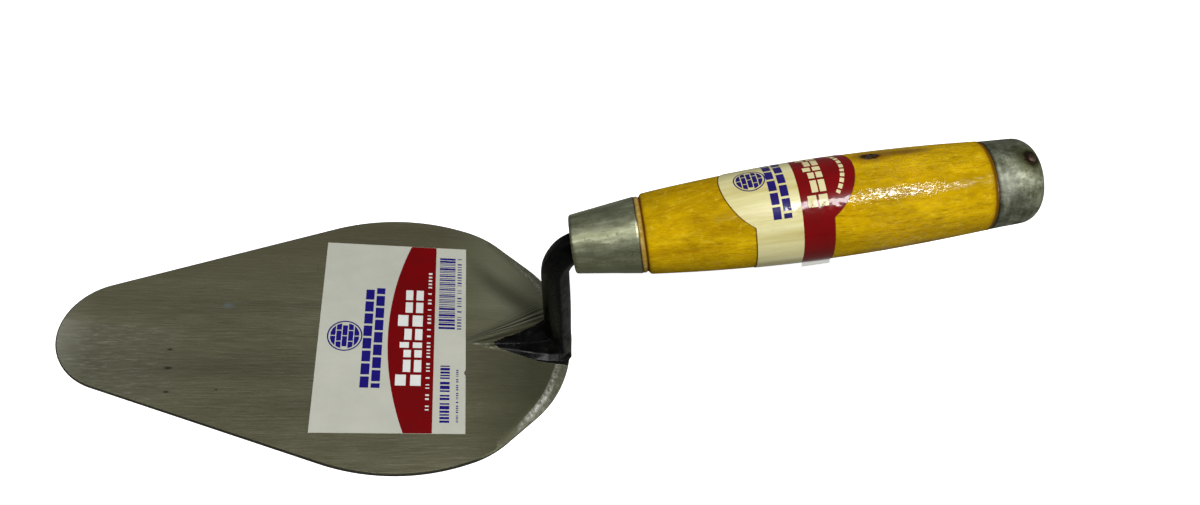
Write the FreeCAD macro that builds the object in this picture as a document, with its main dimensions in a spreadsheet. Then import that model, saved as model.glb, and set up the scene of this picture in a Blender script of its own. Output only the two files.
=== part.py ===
import FreeCAD, Part
import math
import os
import Sketcher
from FreeCAD import Placement, Rotation, Vector

# Brick trowel, 7 inch pointed pattern, millimetres.
# X runs from the blade's point (minus) to the handle's cap (plus), Z is up.
# The origin is on the blade's flat underside, below the foot of the shank.

doc = FreeCAD.newDocument("brick_trowel")

SIZES = [
    # blade
    ("blade_tip", -171.0, "X of the rounded point"),
    ("blade_heel", 5.1, "X of the short square heel edge"),
    ("blade_half_width", 52.4, "half of the widest part"),
    ("heel_half_width", 7.5, "half of the square heel edge"),
    ("nose_radius", 21.2, "rounding of the point"),
    ("side_angle", 20.56, "long side against the centre line, degrees"),
    ("shoulder_radius", 75.0, "large curve at the widest part"),
    ("corner_radius", 37.0, "curve behind the widest part"),
    ("flank_angle", 41.0, "straight flank against the centre line, degrees"),
    ("heel_radius", 42.0, "curve from flank to heel"),
    ("heel_thickness", 2.2, "blade at the heel"),
    ("nose_thickness", 1.2, "blade at the point"),
    ("taper_start", -30.0, "X where the blade starts to thin"),
    # raised root where the shank is drawn out of the blade
    ("root_floor", 1.0, "how far up inside the blade the root begins"),
    ("root_tip", -29.0, "X of the root's front end"),
    ("root_tip_half", 1.4, "half width there"),
    ("root_tip_ridge", 0.5, "half width of its flat top"),
    ("root_tip_height", 2.5, "height there"),
    ("root_mid", -14.0, "X of the middle section"),
    ("root_mid_half", 6.8, "half width there"),
    ("root_mid_ridge", 2.4, "half width of its flat top"),
    ("root_mid_height", 4.2, "height there"),
    ("root_back", -3.5, "X of the section at the shank"),
    ("root_back_half", 9.6, "half width there"),
    ("root_back_ridge", 4.6, "half width of its flat top"),
    ("root_back_height", 8.2, "height there"),
    ("root_end", 6.0, "X of the root's rear end"),
    ("root_end_half", 7.0, "half width there"),
    ("root_end_ridge", 4.2, "half width of its flat top"),
    ("root_end_height", 4.8, "height there"),
    # shank and tang
    ("shank_half_depth", 4.95, "half of the bar along X"),
    ("shank_half_breadth", 4.5, "half of the bar along Y"),
    ("shank_corner", 3.9, "rounding of its long edges"),
    ("shank_foot", 1.4, "length of centre line left out at the foot"),
    ("shank_lean", 11.7, "lean towards the point, degrees"),
    ("bend_radius", 17.0, "centre line of the bend into the handle"),
    ("bend_corner_x", -11.25, "X where shank and handle lines would cross"),
    ("bend_corner_z", 62.99, "Z where they would cross"),
    ("tang_half", 4.6, "half of the square tang at the shank"),
    ("tang_end_half", 2.4, "half of it near its end"),
    ("tang_length", 92.0, "tang to the start of its point"),
    ("tang_point", 6.0, "length of its point"),
    ("tang_point_half", 0.6, "half of the flat at its very end"),
    ("tang_start", 9.4, "station on the handle line where the bend has ended"),
    # handle line
    ("handle_rise", 18.1, "handle against the blade, degrees"),
    ("handle_x", -5.5, "X of the ferrule's front on the handle line"),
    ("handle_z", 64.8, "Z of the same point"),
    # ferrule, along the handle line from its front
    ("ferrule_front", 9.55, "outside radius at the front"),
    ("ferrule_rear", 12.55, "outside radius at the rear"),
    ("ferrule_length", 21.6, "length"),
    ("ferrule_wall", 0.9, "wall"),
    ("ferrule_mouth", 7.8, "radius of the mouth around the shank"),
    ("ferrule_round", 0.8, "rounding of the front rim"),
    # wooden handle
    ("collar_front", 12.3, "radius of the narrow collar behind the ferrule"),
    ("collar_rear", 12.55, "radius at its rear edge"),
    ("collar_length", 1.1, "length of the collar"),
    ("groove_bottom", 12.05, "radius at the bottom of the scribed groove"),
    ("groove_half", 0.45, "half width of the groove"),
    ("grip_front", 13.15, "radius where the grip starts"),
    ("grip_bow", 590.0, "radius of the grip's lengthwise curve"),
    ("grip_front_round", 0.6, "rounding of the grip's front edge"),
    ("seam_station", 132.2, "where the cap starts"),
    ("grip_rear", 14.35, "radius of the grip at the cap"),
    # butt cap
    ("cap_front", 14.2, "outside radius at the open edge"),
    ("cap_rear", 13.7, "outside radius before the rounded shoulder"),
    ("cap_side", 10.2, "length of the straight side"),
    ("cap_length", 16.2, "overall length"),
    ("cap_crown", 7.7, "radius of the flat middle of the end"),
    ("cap_shoulder", 6.0, "radius of the rounded shoulder"),
    ("cap_wall", 0.7, "wall"),
    ("spigot_round", 4.6, "rounding of the wood inside the cap"),
    # brad nail through the cap
    ("nail_station", 144.3, "along the handle line"),
    ("nail_height", 13.42, "head above the handle line"),
    ("nail_tilt", 72.0, "lean of the nail, degrees"),
    ("nail_turn", 6.5, "turn of the nail about the handle line, degrees"),
    ("nail_head", 1.4, "radius of the head"),
    ("nail_head_height", 0.45, "height of the head above the cap"),
    ("nail_dome", 2.4, "curve of the top of the head"),
    ("nail_shaft", 0.6, "radius of the shaft"),
    ("nail_length", 8.0, "length under the head"),
    # printed labels
    ("label_thickness", 0.15, "paper label"),
    ("label_half_length", 26.25, "half of it along the blade"),
    ("label_half_width", 39.0, "half of it across the blade"),
    ("label_x", -60.1, "X of its middle"),
    ("label_y", 1.3, "Y of its middle"),
    ("label_turn", -1.4, "twist on the blade, degrees"),
    ("band_thickness", 0.15, "handle label"),
    ("band_station", 69.3, "middle of the label along the handle line"),
    ("band_turn", 15.0, "turn of its round part about the handle, degrees"),
    ("band_half", 11.9, "half of the strap's width"),
    ("band_side", 14.05, "where the round part meets the strap"),
    ("band_arc", 15.65, "curve of the round part"),
    ("band_reach", 30.0, "half length of the trimming cuts across the handle"),
    ("flap_station", 72.0, "where the strap's lifted end starts"),
    ("flap_root_y", -11.93, "lifted end: across, at the handle"),
    ("flap_root_z", -10.95, "lifted end: up, at the handle"),
    ("flap_tip_y", -12.1, "lifted end: across, at its free edge"),
    ("flap_tip_z", -12.7, "lifted end: up, at its free edge"),
]

sheet = doc.addObject("Spreadsheet::Sheet", "dims")
size = {}
for row, (alias, value, note) in enumerate(SIZES, start=1):
    sheet.set("A%d" % row, alias)
    sheet.set("B%d" % row, str(value))
    sheet.set("C%d" % row, note)
    sheet.setAlias("B%d" % row, alias)
    size[alias] = value
doc.recompute()


def reckon(text):
    """Adds up a sum of named sizes, such as 'cap_front - cap_wall'."""
    total = 0.0
    sign = 1.0
    for word in text.split():
        if word == "+":
            sign = 1.0
        elif word == "-":
            sign = -1.0
        elif word in size:
            total += sign * size[word]
        else:
            total += sign * float(word)
    return total


def cell(text):
    """The same sum, written so that it reads the spreadsheet."""
    words = ["dims." + word if word in size else word for word in text.split()]
    return " ".join(words)


def plane(body, role):
    for feature in body.Origin.OriginFeatures:
        if feature.Role == role:
            return feature


def new_body(name):
    body = doc.addObject("PartDesign::Body", name)
    body.Label = name
    return body


def new_sketch(body, name, role="XY_Plane"):
    sketch = body.newObject("Sketcher::SketchObject", name)
    sketch.AttachmentSupport = [(plane(body, role), "")]
    sketch.MapMode = "FlatFace"
    return sketch


def bind(sketch, name, constraint, text):
    """Adds a dimension and ties it to the spreadsheet."""
    index = sketch.addConstraint(constraint)
    sketch.renameConstraint(index, name)
    sketch.setExpression("Constraints." + name, cell(text))


def pin(sketch, name, geometry, point, x_text, y_text):
    """Holds one sketch point at named distances from the sketch's origin."""
    across = Sketcher.Constraint("DistanceX", -1, 1, geometry, point, reckon(x_text))
    upward = Sketcher.Constraint("DistanceY", -1, 1, geometry, point, reckon(y_text))
    bind(sketch, name + "_x", across, x_text)
    bind(sketch, name + "_y", upward, y_text)


def outline(sketch, corners, arcs=None):
    """Closed outline through named corners; a side in arcs is an arc whose
    radius is given, with +1 or -1 for the side of travel its centre is on."""
    arcs = arcs or {}
    spots = [Vector(reckon(x), reckon(y), 0) for x, y in corners]
    ends = []
    for index, start in enumerate(spots):
        end = spots[(index + 1) % len(spots)]
        if index in arcs:
            radius_text, side = arcs[index]
            radius = reckon(radius_text)
            chord = end - start
            normal = Vector(-chord.y, chord.x, 0).normalize() * side
            depth = math.sqrt(max(radius ** 2 - (chord.Length / 2) ** 2, 0.0))
            centre = (start + end) * 0.5 + normal * depth
            circle = Part.Circle(centre, Vector(0, 0, 1), radius)
            first = math.atan2(start.y - centre.y, start.x - centre.x)
            last = math.atan2(end.y - centre.y, end.x - centre.x)
            if side > 0:
                sketch.addGeometry(Part.ArcOfCircle(circle, first, last), False)
                ends.append((1, 2))
            else:
                sketch.addGeometry(Part.ArcOfCircle(circle, last, first), False)
                ends.append((2, 1))
            bind(sketch, "radius_%d" % index,
                 Sketcher.Constraint("Radius", index, radius), radius_text)
        else:
            sketch.addGeometry(Part.LineSegment(start, end), False)
            ends.append((1, 2))
    for index, (x_text, y_text) in enumerate(corners):
        following = (index + 1) % len(corners)
        sketch.addConstraint(Sketcher.Constraint(
            "Coincident", index, ends[index][1], following, ends[following][0]))
        pin(sketch, "corner_%d" % index, index, ends[index][0], x_text, y_text)


def revolve(body, name, corners, arcs=None):
    """Turns an outline about the handle line, which is the body's own X."""
    sketch = new_sketch(body, name + "_profile")
    outline(sketch, corners, arcs)
    turned = body.newObject("PartDesign::Revolution", name)
    turned.Profile = sketch
    turned.ReferenceAxis = (sketch, ["H_Axis"])
    turned.Angle = 360.0
    body.Tip = turned
    return turned


def square_outline(sketch, half_text):
    """A square about the sketch's origin."""
    minus = "0 - " + half_text
    outline(sketch, [(minus, minus), (half_text, minus),
                     (half_text, half_text), (minus, half_text)])


def bore_section(body, name, half_text, station_text):
    """A square across the body's X, for the bore that the tang fills."""
    sketch = new_sketch(body, name, "YZ_Plane")
    sketch.setExpression("AttachmentOffset.Base.z", cell(station_text))
    square_outline(sketch, half_text)
    return sketch


def tie_to_handle(body, roll_text=None):
    """Puts a body's own origin and X on the handle line."""
    tilt = Rotation(Vector(0, 1, 0), -size["handle_rise"])
    body.Placement = Placement(Vector(size["handle_x"], 0, size["handle_z"]), tilt)
    body.setExpression("Placement.Base.x", "dims.handle_x")
    body.setExpression("Placement.Base.z", "dims.handle_z")
    turn = "rotation(vector(0; 1; 0); 0 - dims.handle_rise)"
    if roll_text:
        turn += " * rotation(vector(1; 0; 0); %s)" % cell(roll_text)
    body.setExpression("Placement.Rotation", turn)


def blade_outline(sketch):
    """Half of the blade's outline, one smooth chain of arcs and lines."""
    def arc(x, y, radius, first, last):
        circle = Part.Circle(Vector(x, y, 0), Vector(0, 0, 1), radius)
        sketch.addGeometry(Part.ArcOfCircle(
            circle, math.radians(first), math.radians(last)), False)

    def line(x1, y1, x2, y2):
        sketch.addGeometry(Part.LineSegment(Vector(x1, y1, 0), Vector(x2, y2, 0)), False)

    # rough positions first: the dimensions below settle the real ones
    arc(-149.8, 0.0, 21.2, 110.6, 180.0)
    line(-157.2, 19.9, -83.2, 47.6)
    arc(-56.9, -22.6, 75.0, 70.3, 110.6)
    arc(-44.0, 13.2, 37.0, 49.0, 70.3)
    line(-8.7, 31.7, -19.7, 41.2)
    arc(-36.2, 0.0, 42.0, 10.3, 49.0)
    line(5.1, 7.5, 5.1, 0.0)
    line(5.1, 0.0, -171.0, 0.0)
    for joint in [(0, 1, 1, 1), (1, 2, 2, 2), (2, 1, 3, 2), (3, 1, 4, 2), (4, 1, 5, 2)]:
        sketch.addConstraint(Sketcher.Constraint("Tangent", *joint))
    for joint in [(5, 1, 6, 1), (6, 2, 7, 1), (7, 2, 0, 2)]:
        sketch.addConstraint(Sketcher.Constraint("Coincident", *joint))
    for point in [(0, 3), (5, 3), (7, 1), (7, 2)]:
        sketch.addConstraint(Sketcher.Constraint("PointOnObject", point[0], point[1], -1))
    sketch.addConstraint(Sketcher.Constraint("Vertical", 6))
    bind(sketch, "nose", Sketcher.Constraint("Radius", 0, 21.2), "nose_radius")
    bind(sketch, "shoulder", Sketcher.Constraint("Radius", 2, 75.0), "shoulder_radius")
    bind(sketch, "corner", Sketcher.Constraint("Radius", 3, 37.0), "corner_radius")
    bind(sketch, "heel", Sketcher.Constraint("Radius", 5, 42.0), "heel_radius")
    bind(sketch, "side", Sketcher.Constraint("Angle", 1, math.radians(20.56)), "side_angle")
    bind(sketch, "flank", Sketcher.Constraint("Angle", 4, math.radians(139.0)),
         "180 - flank_angle")
    bind(sketch, "tip_x", Sketcher.Constraint("DistanceX", -1, 1, 7, 2, -171.0), "blade_tip")
    bind(sketch, "heel_x", Sketcher.Constraint("DistanceX", -1, 1, 6, 1, 5.1), "blade_heel")
    bind(sketch, "heel_y", Sketcher.Constraint("DistanceY", -1, 1, 6, 1, 7.5),
         "heel_half_width")
    bind(sketch, "widest", Sketcher.Constraint("DistanceY", -1, 1, 2, 3, -22.6),
         "blade_half_width - shoulder_radius")


def make_blade_plate(body):
    """Flat pointed plate, thinning towards the point."""
    half = new_sketch(body, "blade_half")
    blade_outline(half)
    pad = body.newObject("PartDesign::Pad", "blade_plate")
    pad.Profile = half
    pad.setExpression("Length", "dims.heel_thickness")
    other = body.newObject("PartDesign::Mirrored", "other_half")
    other.Originals = [pad]
    other.MirrorPlane = (plane(body, "XZ_Plane"), [""])
    body.Tip = other
    wedge = new_sketch(body, "thinning_wedge", "XZ_Plane")
    outline(wedge, [("taper_start", "heel_thickness"),
                    ("blade_tip - 1", "heel_thickness"),
                    ("blade_tip - 1", "nose_thickness")])
    thinning = body.newObject("PartDesign::Pocket", "thinning")
    thinning.Profile = wedge
    thinning.Type = 1
    thinning.Midplane = True
    body.Tip = thinning


def root_section(body, name, station, half, ridge, height):
    sketch = new_sketch(body, name, "YZ_Plane")
    sketch.setExpression("AttachmentOffset.Base.z", cell(station))
    outline(sketch, [("0 - " + half, "root_floor"), (half, "root_floor"),
                     (ridge, height), ("0 - " + ridge, height)])
    return sketch


def make_root(body):
    """Raised V that carries the shank's load into the blade."""
    sections = []
    for part in ("tip", "mid", "back", "end"):
        station = "root_" + part
        sections.append(root_section(
            body, station + "_section", station,
            station + "_half", station + "_ridge", station + "_height"))
    root = body.newObject("PartDesign::AdditiveLoft", "root")
    root.Profile = sections[0]
    root.Sections = sections[1:]
    root.Ruled = False
    body.Tip = root


def make_shank(body):
    """Rounded square bar, leaning forward, then bent back into the handle."""
    lean = math.radians(size["shank_lean"])
    rise = math.radians(size["handle_rise"])
    turn = math.pi / 2 + lean - rise
    reach = size["bend_radius"] * math.tan(turn / 2)
    corner = Vector(size["bend_corner_x"], size["bend_corner_z"], 0)
    up = Vector(-math.sin(lean), math.cos(lean), 0)
    out = Vector(math.cos(rise), math.sin(rise), 0)
    foot = Vector(-math.sin(lean) * size["shank_foot"], math.cos(lean) * size["shank_foot"], 0)
    start = corner - up * reach
    finish = corner + out * reach
    centre = start + Vector(up.y, -up.x, 0) * size["bend_radius"]
    path = new_sketch(body, "shank_line", "XZ_Plane")
    path.addGeometry(Part.LineSegment(foot, start), False)
    circle = Part.Circle(centre, Vector(0, 0, 1), size["bend_radius"])
    path.addGeometry(Part.ArcOfCircle(circle, rise + math.pi / 2, lean + math.pi), False)
    path.addConstraint(Sketcher.Constraint("Tangent", 0, 2, 1, 2))
    bind(path, "bend", Sketcher.Constraint("Radius", 1, size["bend_radius"]), "bend_radius")
    bind(path, "lean", Sketcher.Constraint("Angle", 0, lean + math.pi / 2), "90 + shank_lean")
    # two guide lines cross where the bend's corner would be
    path.addGeometry(Part.LineSegment(start, corner), True)
    path.addGeometry(Part.LineSegment(corner, finish), True)
    path.addConstraint(Sketcher.Constraint("Coincident", 2, 1, 0, 2))
    path.addConstraint(Sketcher.Constraint("Parallel", 2, 0))
    path.addConstraint(Sketcher.Constraint("Coincident", 3, 1, 2, 2))
    path.addConstraint(Sketcher.Constraint("Tangent", 3, 2, 1, 1))
    bind(path, "rise", Sketcher.Constraint("Angle", 3, rise), "handle_rise")
    pin(path, "bend_corner", 2, 2, "bend_corner_x", "bend_corner_z")
    bind(path, "foot_z", Sketcher.Constraint("DistanceY", -1, 1, 0, 1, foot.y), "shank_foot")

    bar = new_sketch(body, "shank_section")
    tilt = Rotation(Vector(0, 1, 0), -size["shank_lean"])
    bar.AttachmentOffset = Placement(Vector(foot.x, 0, foot.y), tilt)
    bar.setExpression("AttachmentOffset.Base.x",
                      "dims.bend_corner_x + (dims.bend_corner_z - dims.shank_foot)"
                      " * tan(dims.shank_lean * 1 deg)")
    bar.setExpression("AttachmentOffset.Base.z", "dims.shank_foot")
    bar.setExpression("AttachmentOffset.Rotation",
                      "rotation(vector(0; 1; 0); 0 - dims.shank_lean)")
    deep, broad, bow = "shank_half_depth", "shank_half_breadth", "shank_corner"
    corners = [
        ("0 - %s + %s" % (deep, bow), "0 - " + broad), ("%s - %s" % (deep, bow), "0 - " + broad),
        (deep, "0 - %s + %s" % (broad, bow)), (deep, "%s - %s" % (broad, bow)),
        ("%s - %s" % (deep, bow), broad), ("0 - %s + %s" % (deep, bow), broad),
        ("0 - " + deep, "%s - %s" % (broad, bow)), ("0 - " + deep, "0 - %s + %s" % (broad, bow))]
    outline(bar, corners, {1: (bow, 1), 3: (bow, 1), 5: (bow, 1), 7: (bow, 1)})
    doc.recompute()
    shank = body.newObject("PartDesign::AdditivePipe", "shank")
    shank.Profile = bar
    shank.Spine = (path, ["Edge1", "Edge2"])
    body.Tip = shank


def make_tang(body):
    """Square tapered tang that is driven into the handle."""
    names = [("tang_root_section", "tang_half", "tang_start - 1"),
             ("tang_end_section", "tang_end_half", "tang_length"),
             ("tang_point_section", "tang_point_half", "tang_length + tang_point")]
    sections = []
    for name, half, station in names:
        sketch = new_sketch(body, name)
        square_outline(sketch, half)
        along = cell(station)
        base_x = "dims.handle_x + (%s) * cos(dims.handle_rise * 1 deg)" % along
        base_z = "dims.handle_z + (%s) * sin(dims.handle_rise * 1 deg)" % along
        sketch.setExpression("AttachmentOffset.Base.x", base_x)
        sketch.setExpression("AttachmentOffset.Base.z", base_z)
        sketch.setExpression("AttachmentOffset.Rotation",
                             "rotation(vector(0; 1; 0); 90 - dims.handle_rise)")
        sections.append(sketch)
    tang = body.newObject("PartDesign::AdditiveLoft", "tang")
    tang.Profile = sections[0]
    tang.Sections = sections[1:]
    tang.Ruled = True
    body.Tip = tang


def make_forged_blade():
    """Blade, shank and tang, forged from one piece of steel."""
    body = new_body("forged_blade")
    make_blade_plate(body)
    make_root(body)
    make_shank(body)
    make_tang(body)
    return body


def make_front_ferrule():
    """Drawn aluminium cone, its front edge turned in around the shank."""
    body = new_body("front_ferrule")
    tie_to_handle(body)
    revolve(body, "ferrule_shell", [
        ("0", "ferrule_mouth"),
        ("ferrule_wall", "ferrule_mouth"),
        ("ferrule_wall", "ferrule_front - ferrule_wall"),
        ("ferrule_length", "ferrule_rear - ferrule_wall"),
        ("ferrule_length", "ferrule_rear"),
        ("ferrule_round", "ferrule_front"),
        ("0", "ferrule_front - ferrule_round")],
        {5: ("ferrule_round", 1)})
    return body


def make_wood_handle():
    """Turned grip with a stub for the ferrule and one for the cap."""
    body = new_body("wood_handle")
    tie_to_handle(body)
    groove = "ferrule_length + collar_length"
    stub_end = "seam_station + cap_length - cap_wall"
    revolve(body, "turned_wood", [
        ("tang_start", "0"),
        ("tang_start", "ferrule_mouth"),
        ("ferrule_wall", "ferrule_mouth"),
        ("ferrule_wall", "ferrule_front - ferrule_wall"),
        ("ferrule_length", "ferrule_rear - ferrule_wall"),
        ("ferrule_length", "collar_front"),
        (groove, "collar_rear"),
        (groove + " + groove_half", "groove_bottom"),
        (groove + " + groove_half + groove_half", "grip_front - grip_front_round"),
        (groove + " + groove_half + groove_half + grip_front_round", "grip_front"),
        ("seam_station", "grip_rear"),
        ("seam_station", "cap_front - cap_wall"),
        ("seam_station + cap_side", "cap_rear - cap_wall"),
        (stub_end, "cap_crown"),
        (stub_end, "0")],
        {8: ("grip_front_round", -1), 9: ("grip_bow", -1), 12: ("spigot_round", -1)})
    front = bore_section(body, "bore_mouth", "tang_half", "tang_start - 1")
    deep = bore_section(body, "bore_end", "tang_end_half", "tang_length")
    point = bore_section(body, "bore_point", "tang_point_half", "tang_length + tang_point")
    bore = body.newObject("PartDesign::SubtractiveLoft", "tang_bore")
    bore.Profile = front
    bore.Sections = [deep, point]
    bore.Ruled = True
    body.Tip = bore
    nail_hole(body, "nail_hole_in_wood")
    return body


def make_butt_cap():
    """Drawn steel cup pressed over the rear end of the handle."""
    body = new_body("butt_cap")
    tie_to_handle(body)
    revolve(body, "cap_cup", [
        ("seam_station", "cap_front - cap_wall"),
        ("seam_station + cap_side", "cap_rear - cap_wall"),
        ("seam_station + cap_length - cap_wall", "cap_crown"),
        ("seam_station + cap_length - cap_wall", "0"),
        ("seam_station + cap_length", "0"),
        ("seam_station + cap_length", "cap_crown"),
        ("seam_station + cap_side", "cap_rear"),
        ("seam_station", "cap_front")],
        {1: ("spigot_round", -1), 5: ("cap_shoulder", 1)})
    nail_hole(body, "nail_hole_in_cap")
    return body


ON_HANDLE = ("placement(vector(dims.handle_x; 0; dims.handle_z);"
             " rotation(vector(0; 1; 0); 0 - dims.handle_rise)) * ")
AT_NAIL = ("placement(vector(0; 0; 0); rotation(vector(1; 0; 0); dims.nail_turn))"
           " * placement(vector(dims.nail_station; 0; dims.nail_height);"
           " rotation(vector(0; 1; 0); 0 - dims.nail_tilt))")


def nail_hole(body, name):
    """Hole for the brad nail, in a body whose X is the handle line."""
    hole = body.newObject("PartDesign::SubtractiveCylinder", name)
    hole.setExpression("Radius", "dims.nail_shaft")
    hole.setExpression("Height", "dims.nail_length + 4")
    hole.setExpression("Placement", AT_NAIL + " * placement(vector(2; 0; 0);"
                       " rotation(vector(0; 1; 0); 0 - 90))")
    body.Tip = hole


def make_cap_nail():
    """Brad nail that holds the cap, its head on the rounded shoulder."""
    body = new_body("cap_nail")
    revolve(body, "nail", [
        ("0 - nail_length", "0"),
        ("0 - nail_length + nail_shaft + nail_shaft", "nail_shaft"),
        ("0", "nail_shaft"),
        ("0", "nail_head"),
        ("nail_head_height", "0")],
        {3: ("nail_dome", -1)})
    body.setExpression("Placement", ON_HANDLE + AT_NAIL)
    return body


def make_blade_label():
    """Printed paper label stuck flat on the blade."""
    body = new_body("blade_label")
    sheet_outline = new_sketch(body, "label_outline")
    sheet_outline.setExpression("AttachmentOffset.Rotation",
                                "rotation(vector(0; 0; 1); dims.label_turn)")
    outline(sheet_outline, [("0 - label_half_length", "0 - label_half_width"),
                            ("label_half_length", "0 - label_half_width"),
                            ("label_half_length", "label_half_width"),
                            ("0 - label_half_length", "label_half_width")])
    paper = body.newObject("PartDesign::Pad", "paper")
    paper.Profile = sheet_outline
    paper.setExpression("Length", "dims.label_thickness")
    body.Tip = paper
    slope = ("(dims.heel_thickness - dims.nose_thickness)"
             " / (dims.taper_start - dims.blade_tip + 1)")
    body.setExpression("Placement.Base.x", "dims.label_x")
    body.setExpression("Placement.Base.y", "dims.label_y")
    body.setExpression("Placement.Base.z", "dims.heel_thickness"
                       " - (dims.taper_start - dims.label_x) * " + slope)
    body.setExpression("Placement.Rotation",
                       "rotation(vector(0; 1; 0); -1 * atan(%s))" % slope)
    return body


def trim(body, name, corners, arcs, upward):
    """Cuts the label's tube away above or below the handle line."""
    sketch = new_sketch(body, name + "_outline")
    outline(sketch, corners, arcs)
    cut = body.newObject("PartDesign::Pocket", name)
    cut.Profile = sketch
    cut.Type = 1
    cut.Reversed = upward
    body.Tip = cut


def make_handle_label():
    """Printed label around the grip: a round patch on top and a strap."""
    body = new_body("handle_label")
    tie_to_handle(body, "0 - band_turn")
    start = "ferrule_length + collar_length + groove_half + groove_half + grip_front_round"
    revolve(body, "label_tube", [
        (start, "0"), (start, "grip_front + band_thickness"),
        ("seam_station", "grip_rear + band_thickness"), ("seam_station", "0")],
        {1: ("grip_bow", -1)})
    inside = new_sketch(body, "grip_inside_profile")
    outline(inside, [(start, "0"), (start, "grip_front"),
                     ("seam_station", "grip_rear"), ("seam_station", "0")],
            {1: ("grip_bow", -1)})
    hollow = body.newObject("PartDesign::Groove", "grip_inside")
    hollow.Profile = inside
    hollow.ReferenceAxis = (inside, ["H_Axis"])
    hollow.Angle = 360.0
    body.Tip = hollow
    front = "band_station - band_half"
    rear = "band_station + band_half"
    far = "band_reach"
    near = "0 - band_reach"
    trim(body, "front_patch_trim", [
        ("0", near), (front, near), (front, "0 - band_side"), (front, "band_side"),
        (front, far), ("0", far)], {2: ("band_arc", -1)}, True)
    trim(body, "rear_patch_trim", [
        ("seam_station + 1", far), (rear, far), (rear, "band_side"), (rear, "0 - band_side"),
        (rear, near), ("seam_station + 1", near)], {2: ("band_arc", -1)}, True)
    trim(body, "front_strap_trim", [
        ("0", near), (front, near), (front, far), ("0", far)], None, False)
    trim(body, "rear_strap_trim", [
        (rear, near), ("seam_station + 1", near), ("seam_station + 1", far), (rear, far)],
        None, False)
    edge = new_sketch(body, "lifted_end_edge", "YZ_Plane")
    edge.setExpression("AttachmentOffset.Base.z", "dims.flap_station")
    outline(edge, [("flap_root_y", "flap_root_z"), ("flap_tip_y", "flap_tip_z"),
                   ("flap_tip_y - band_thickness", "flap_tip_z"),
                   ("flap_root_y - band_thickness - band_thickness", "flap_root_z")])
    flap = body.newObject("PartDesign::Pad", "lifted_end")
    flap.Profile = edge
    flap.setExpression("Length", "dims.band_station + dims.band_half - dims.flap_station")
    body.Tip = flap
    return body


def check_and_export():
    doc.recompute()
    for item in doc.Objects:
        if "Invalid" in item.State or "Error" in item.State:
            raise RuntimeError("%s: %s" % (item.Name, item.State))
    os.makedirs("parts", exist_ok=True)
    for body in bodies:
        if body.Shape.isNull() or not body.Shape.isValid():
            raise RuntimeError(body.Label + " has no valid shape")
        if len(body.Shape.Solids) != 1:
            raise RuntimeError(body.Label + " is not one solid")
        body.Shape.exportStep("parts/%s.step" % body.Label)
        box = body.Shape.BoundBox
        print("%-14s %9.1f mm3  X %.1f %.1f  Y %.1f %.1f  Z %.1f %.1f" % (
            body.Label, body.Shape.Volume, box.XMin, box.XMax,
            box.YMin, box.YMax, box.ZMin, box.ZMax))


bodies = [make_forged_blade(), make_front_ferrule(), make_wood_handle(), make_butt_cap(),
          make_cap_nail(), make_blade_label(), make_handle_label()]
check_and_export()
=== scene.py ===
import math
import random

import bmesh
import bpy
from mathutils import Euler, Matrix, Vector, noise


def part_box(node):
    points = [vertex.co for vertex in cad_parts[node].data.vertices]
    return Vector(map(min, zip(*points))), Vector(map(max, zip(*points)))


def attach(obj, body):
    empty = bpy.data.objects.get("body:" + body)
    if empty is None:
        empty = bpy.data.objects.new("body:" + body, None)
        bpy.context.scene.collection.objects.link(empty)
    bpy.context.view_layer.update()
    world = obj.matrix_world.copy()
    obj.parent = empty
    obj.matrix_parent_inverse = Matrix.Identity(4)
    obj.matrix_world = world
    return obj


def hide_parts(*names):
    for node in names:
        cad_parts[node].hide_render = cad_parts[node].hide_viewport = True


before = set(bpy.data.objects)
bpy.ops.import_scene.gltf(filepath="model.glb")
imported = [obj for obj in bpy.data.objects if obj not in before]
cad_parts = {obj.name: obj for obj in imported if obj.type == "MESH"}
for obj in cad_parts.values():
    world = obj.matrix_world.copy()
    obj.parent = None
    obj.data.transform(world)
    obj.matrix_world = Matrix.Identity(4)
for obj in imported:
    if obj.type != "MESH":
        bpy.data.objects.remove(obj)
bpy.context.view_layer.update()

# ---------------------------------------------------------------------------
# Stage: a pale studio floor, a soft key lamp high above the tool's near side,
# a weak lamp at either end, a dim room, and the camera looking down on it all.
# ---------------------------------------------------------------------------
MM = 0.001
FLOOR_HALF, FLOOR_HEIGHT = 4.0, -0.0002
scene = bpy.context.scene
scene.view_settings.view_transform = "Standard"


def start_finish(name, colour, roughness, metallic=0.0):
    """A new finish; returns it with its shader."""
    finish = bpy.data.materials.new(name)
    finish.use_nodes = True
    shader = finish.node_tree.nodes["Principled BSDF"]
    shader.inputs["Base Color"].default_value = (*colour, 1.0)
    shader.inputs["Roughness"].default_value = roughness
    shader.inputs["Metallic"].default_value = metallic
    return finish, shader


def show(piece, *finishes):
    """Gives a piece its finishes, in the order of its face numbers."""
    slots = piece.data.materials
    for number, finish in enumerate(finishes):
        if number < len(slots):
            slots[number] = finish
        else:
            slots.append(finish)


def join(finish, source, target):
    finish.node_tree.links.new(source, target)


def node(finish, kind, **settings):
    """Adds a node; a setting named in_N or in_NAME is one of its inputs."""
    made = finish.node_tree.nodes.new("ShaderNode" + kind)
    for key, value in settings.items():
        if key.startswith("in_"):
            socket = made.inputs[int(key[3:])] if key[3:].isdigit() else made.inputs[key[3:]]
            if isinstance(value, bpy.types.NodeSocket):
                join(finish, value, socket)
            else:
                socket.default_value = value
        else:
            setattr(made, key, value)
    return made


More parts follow.
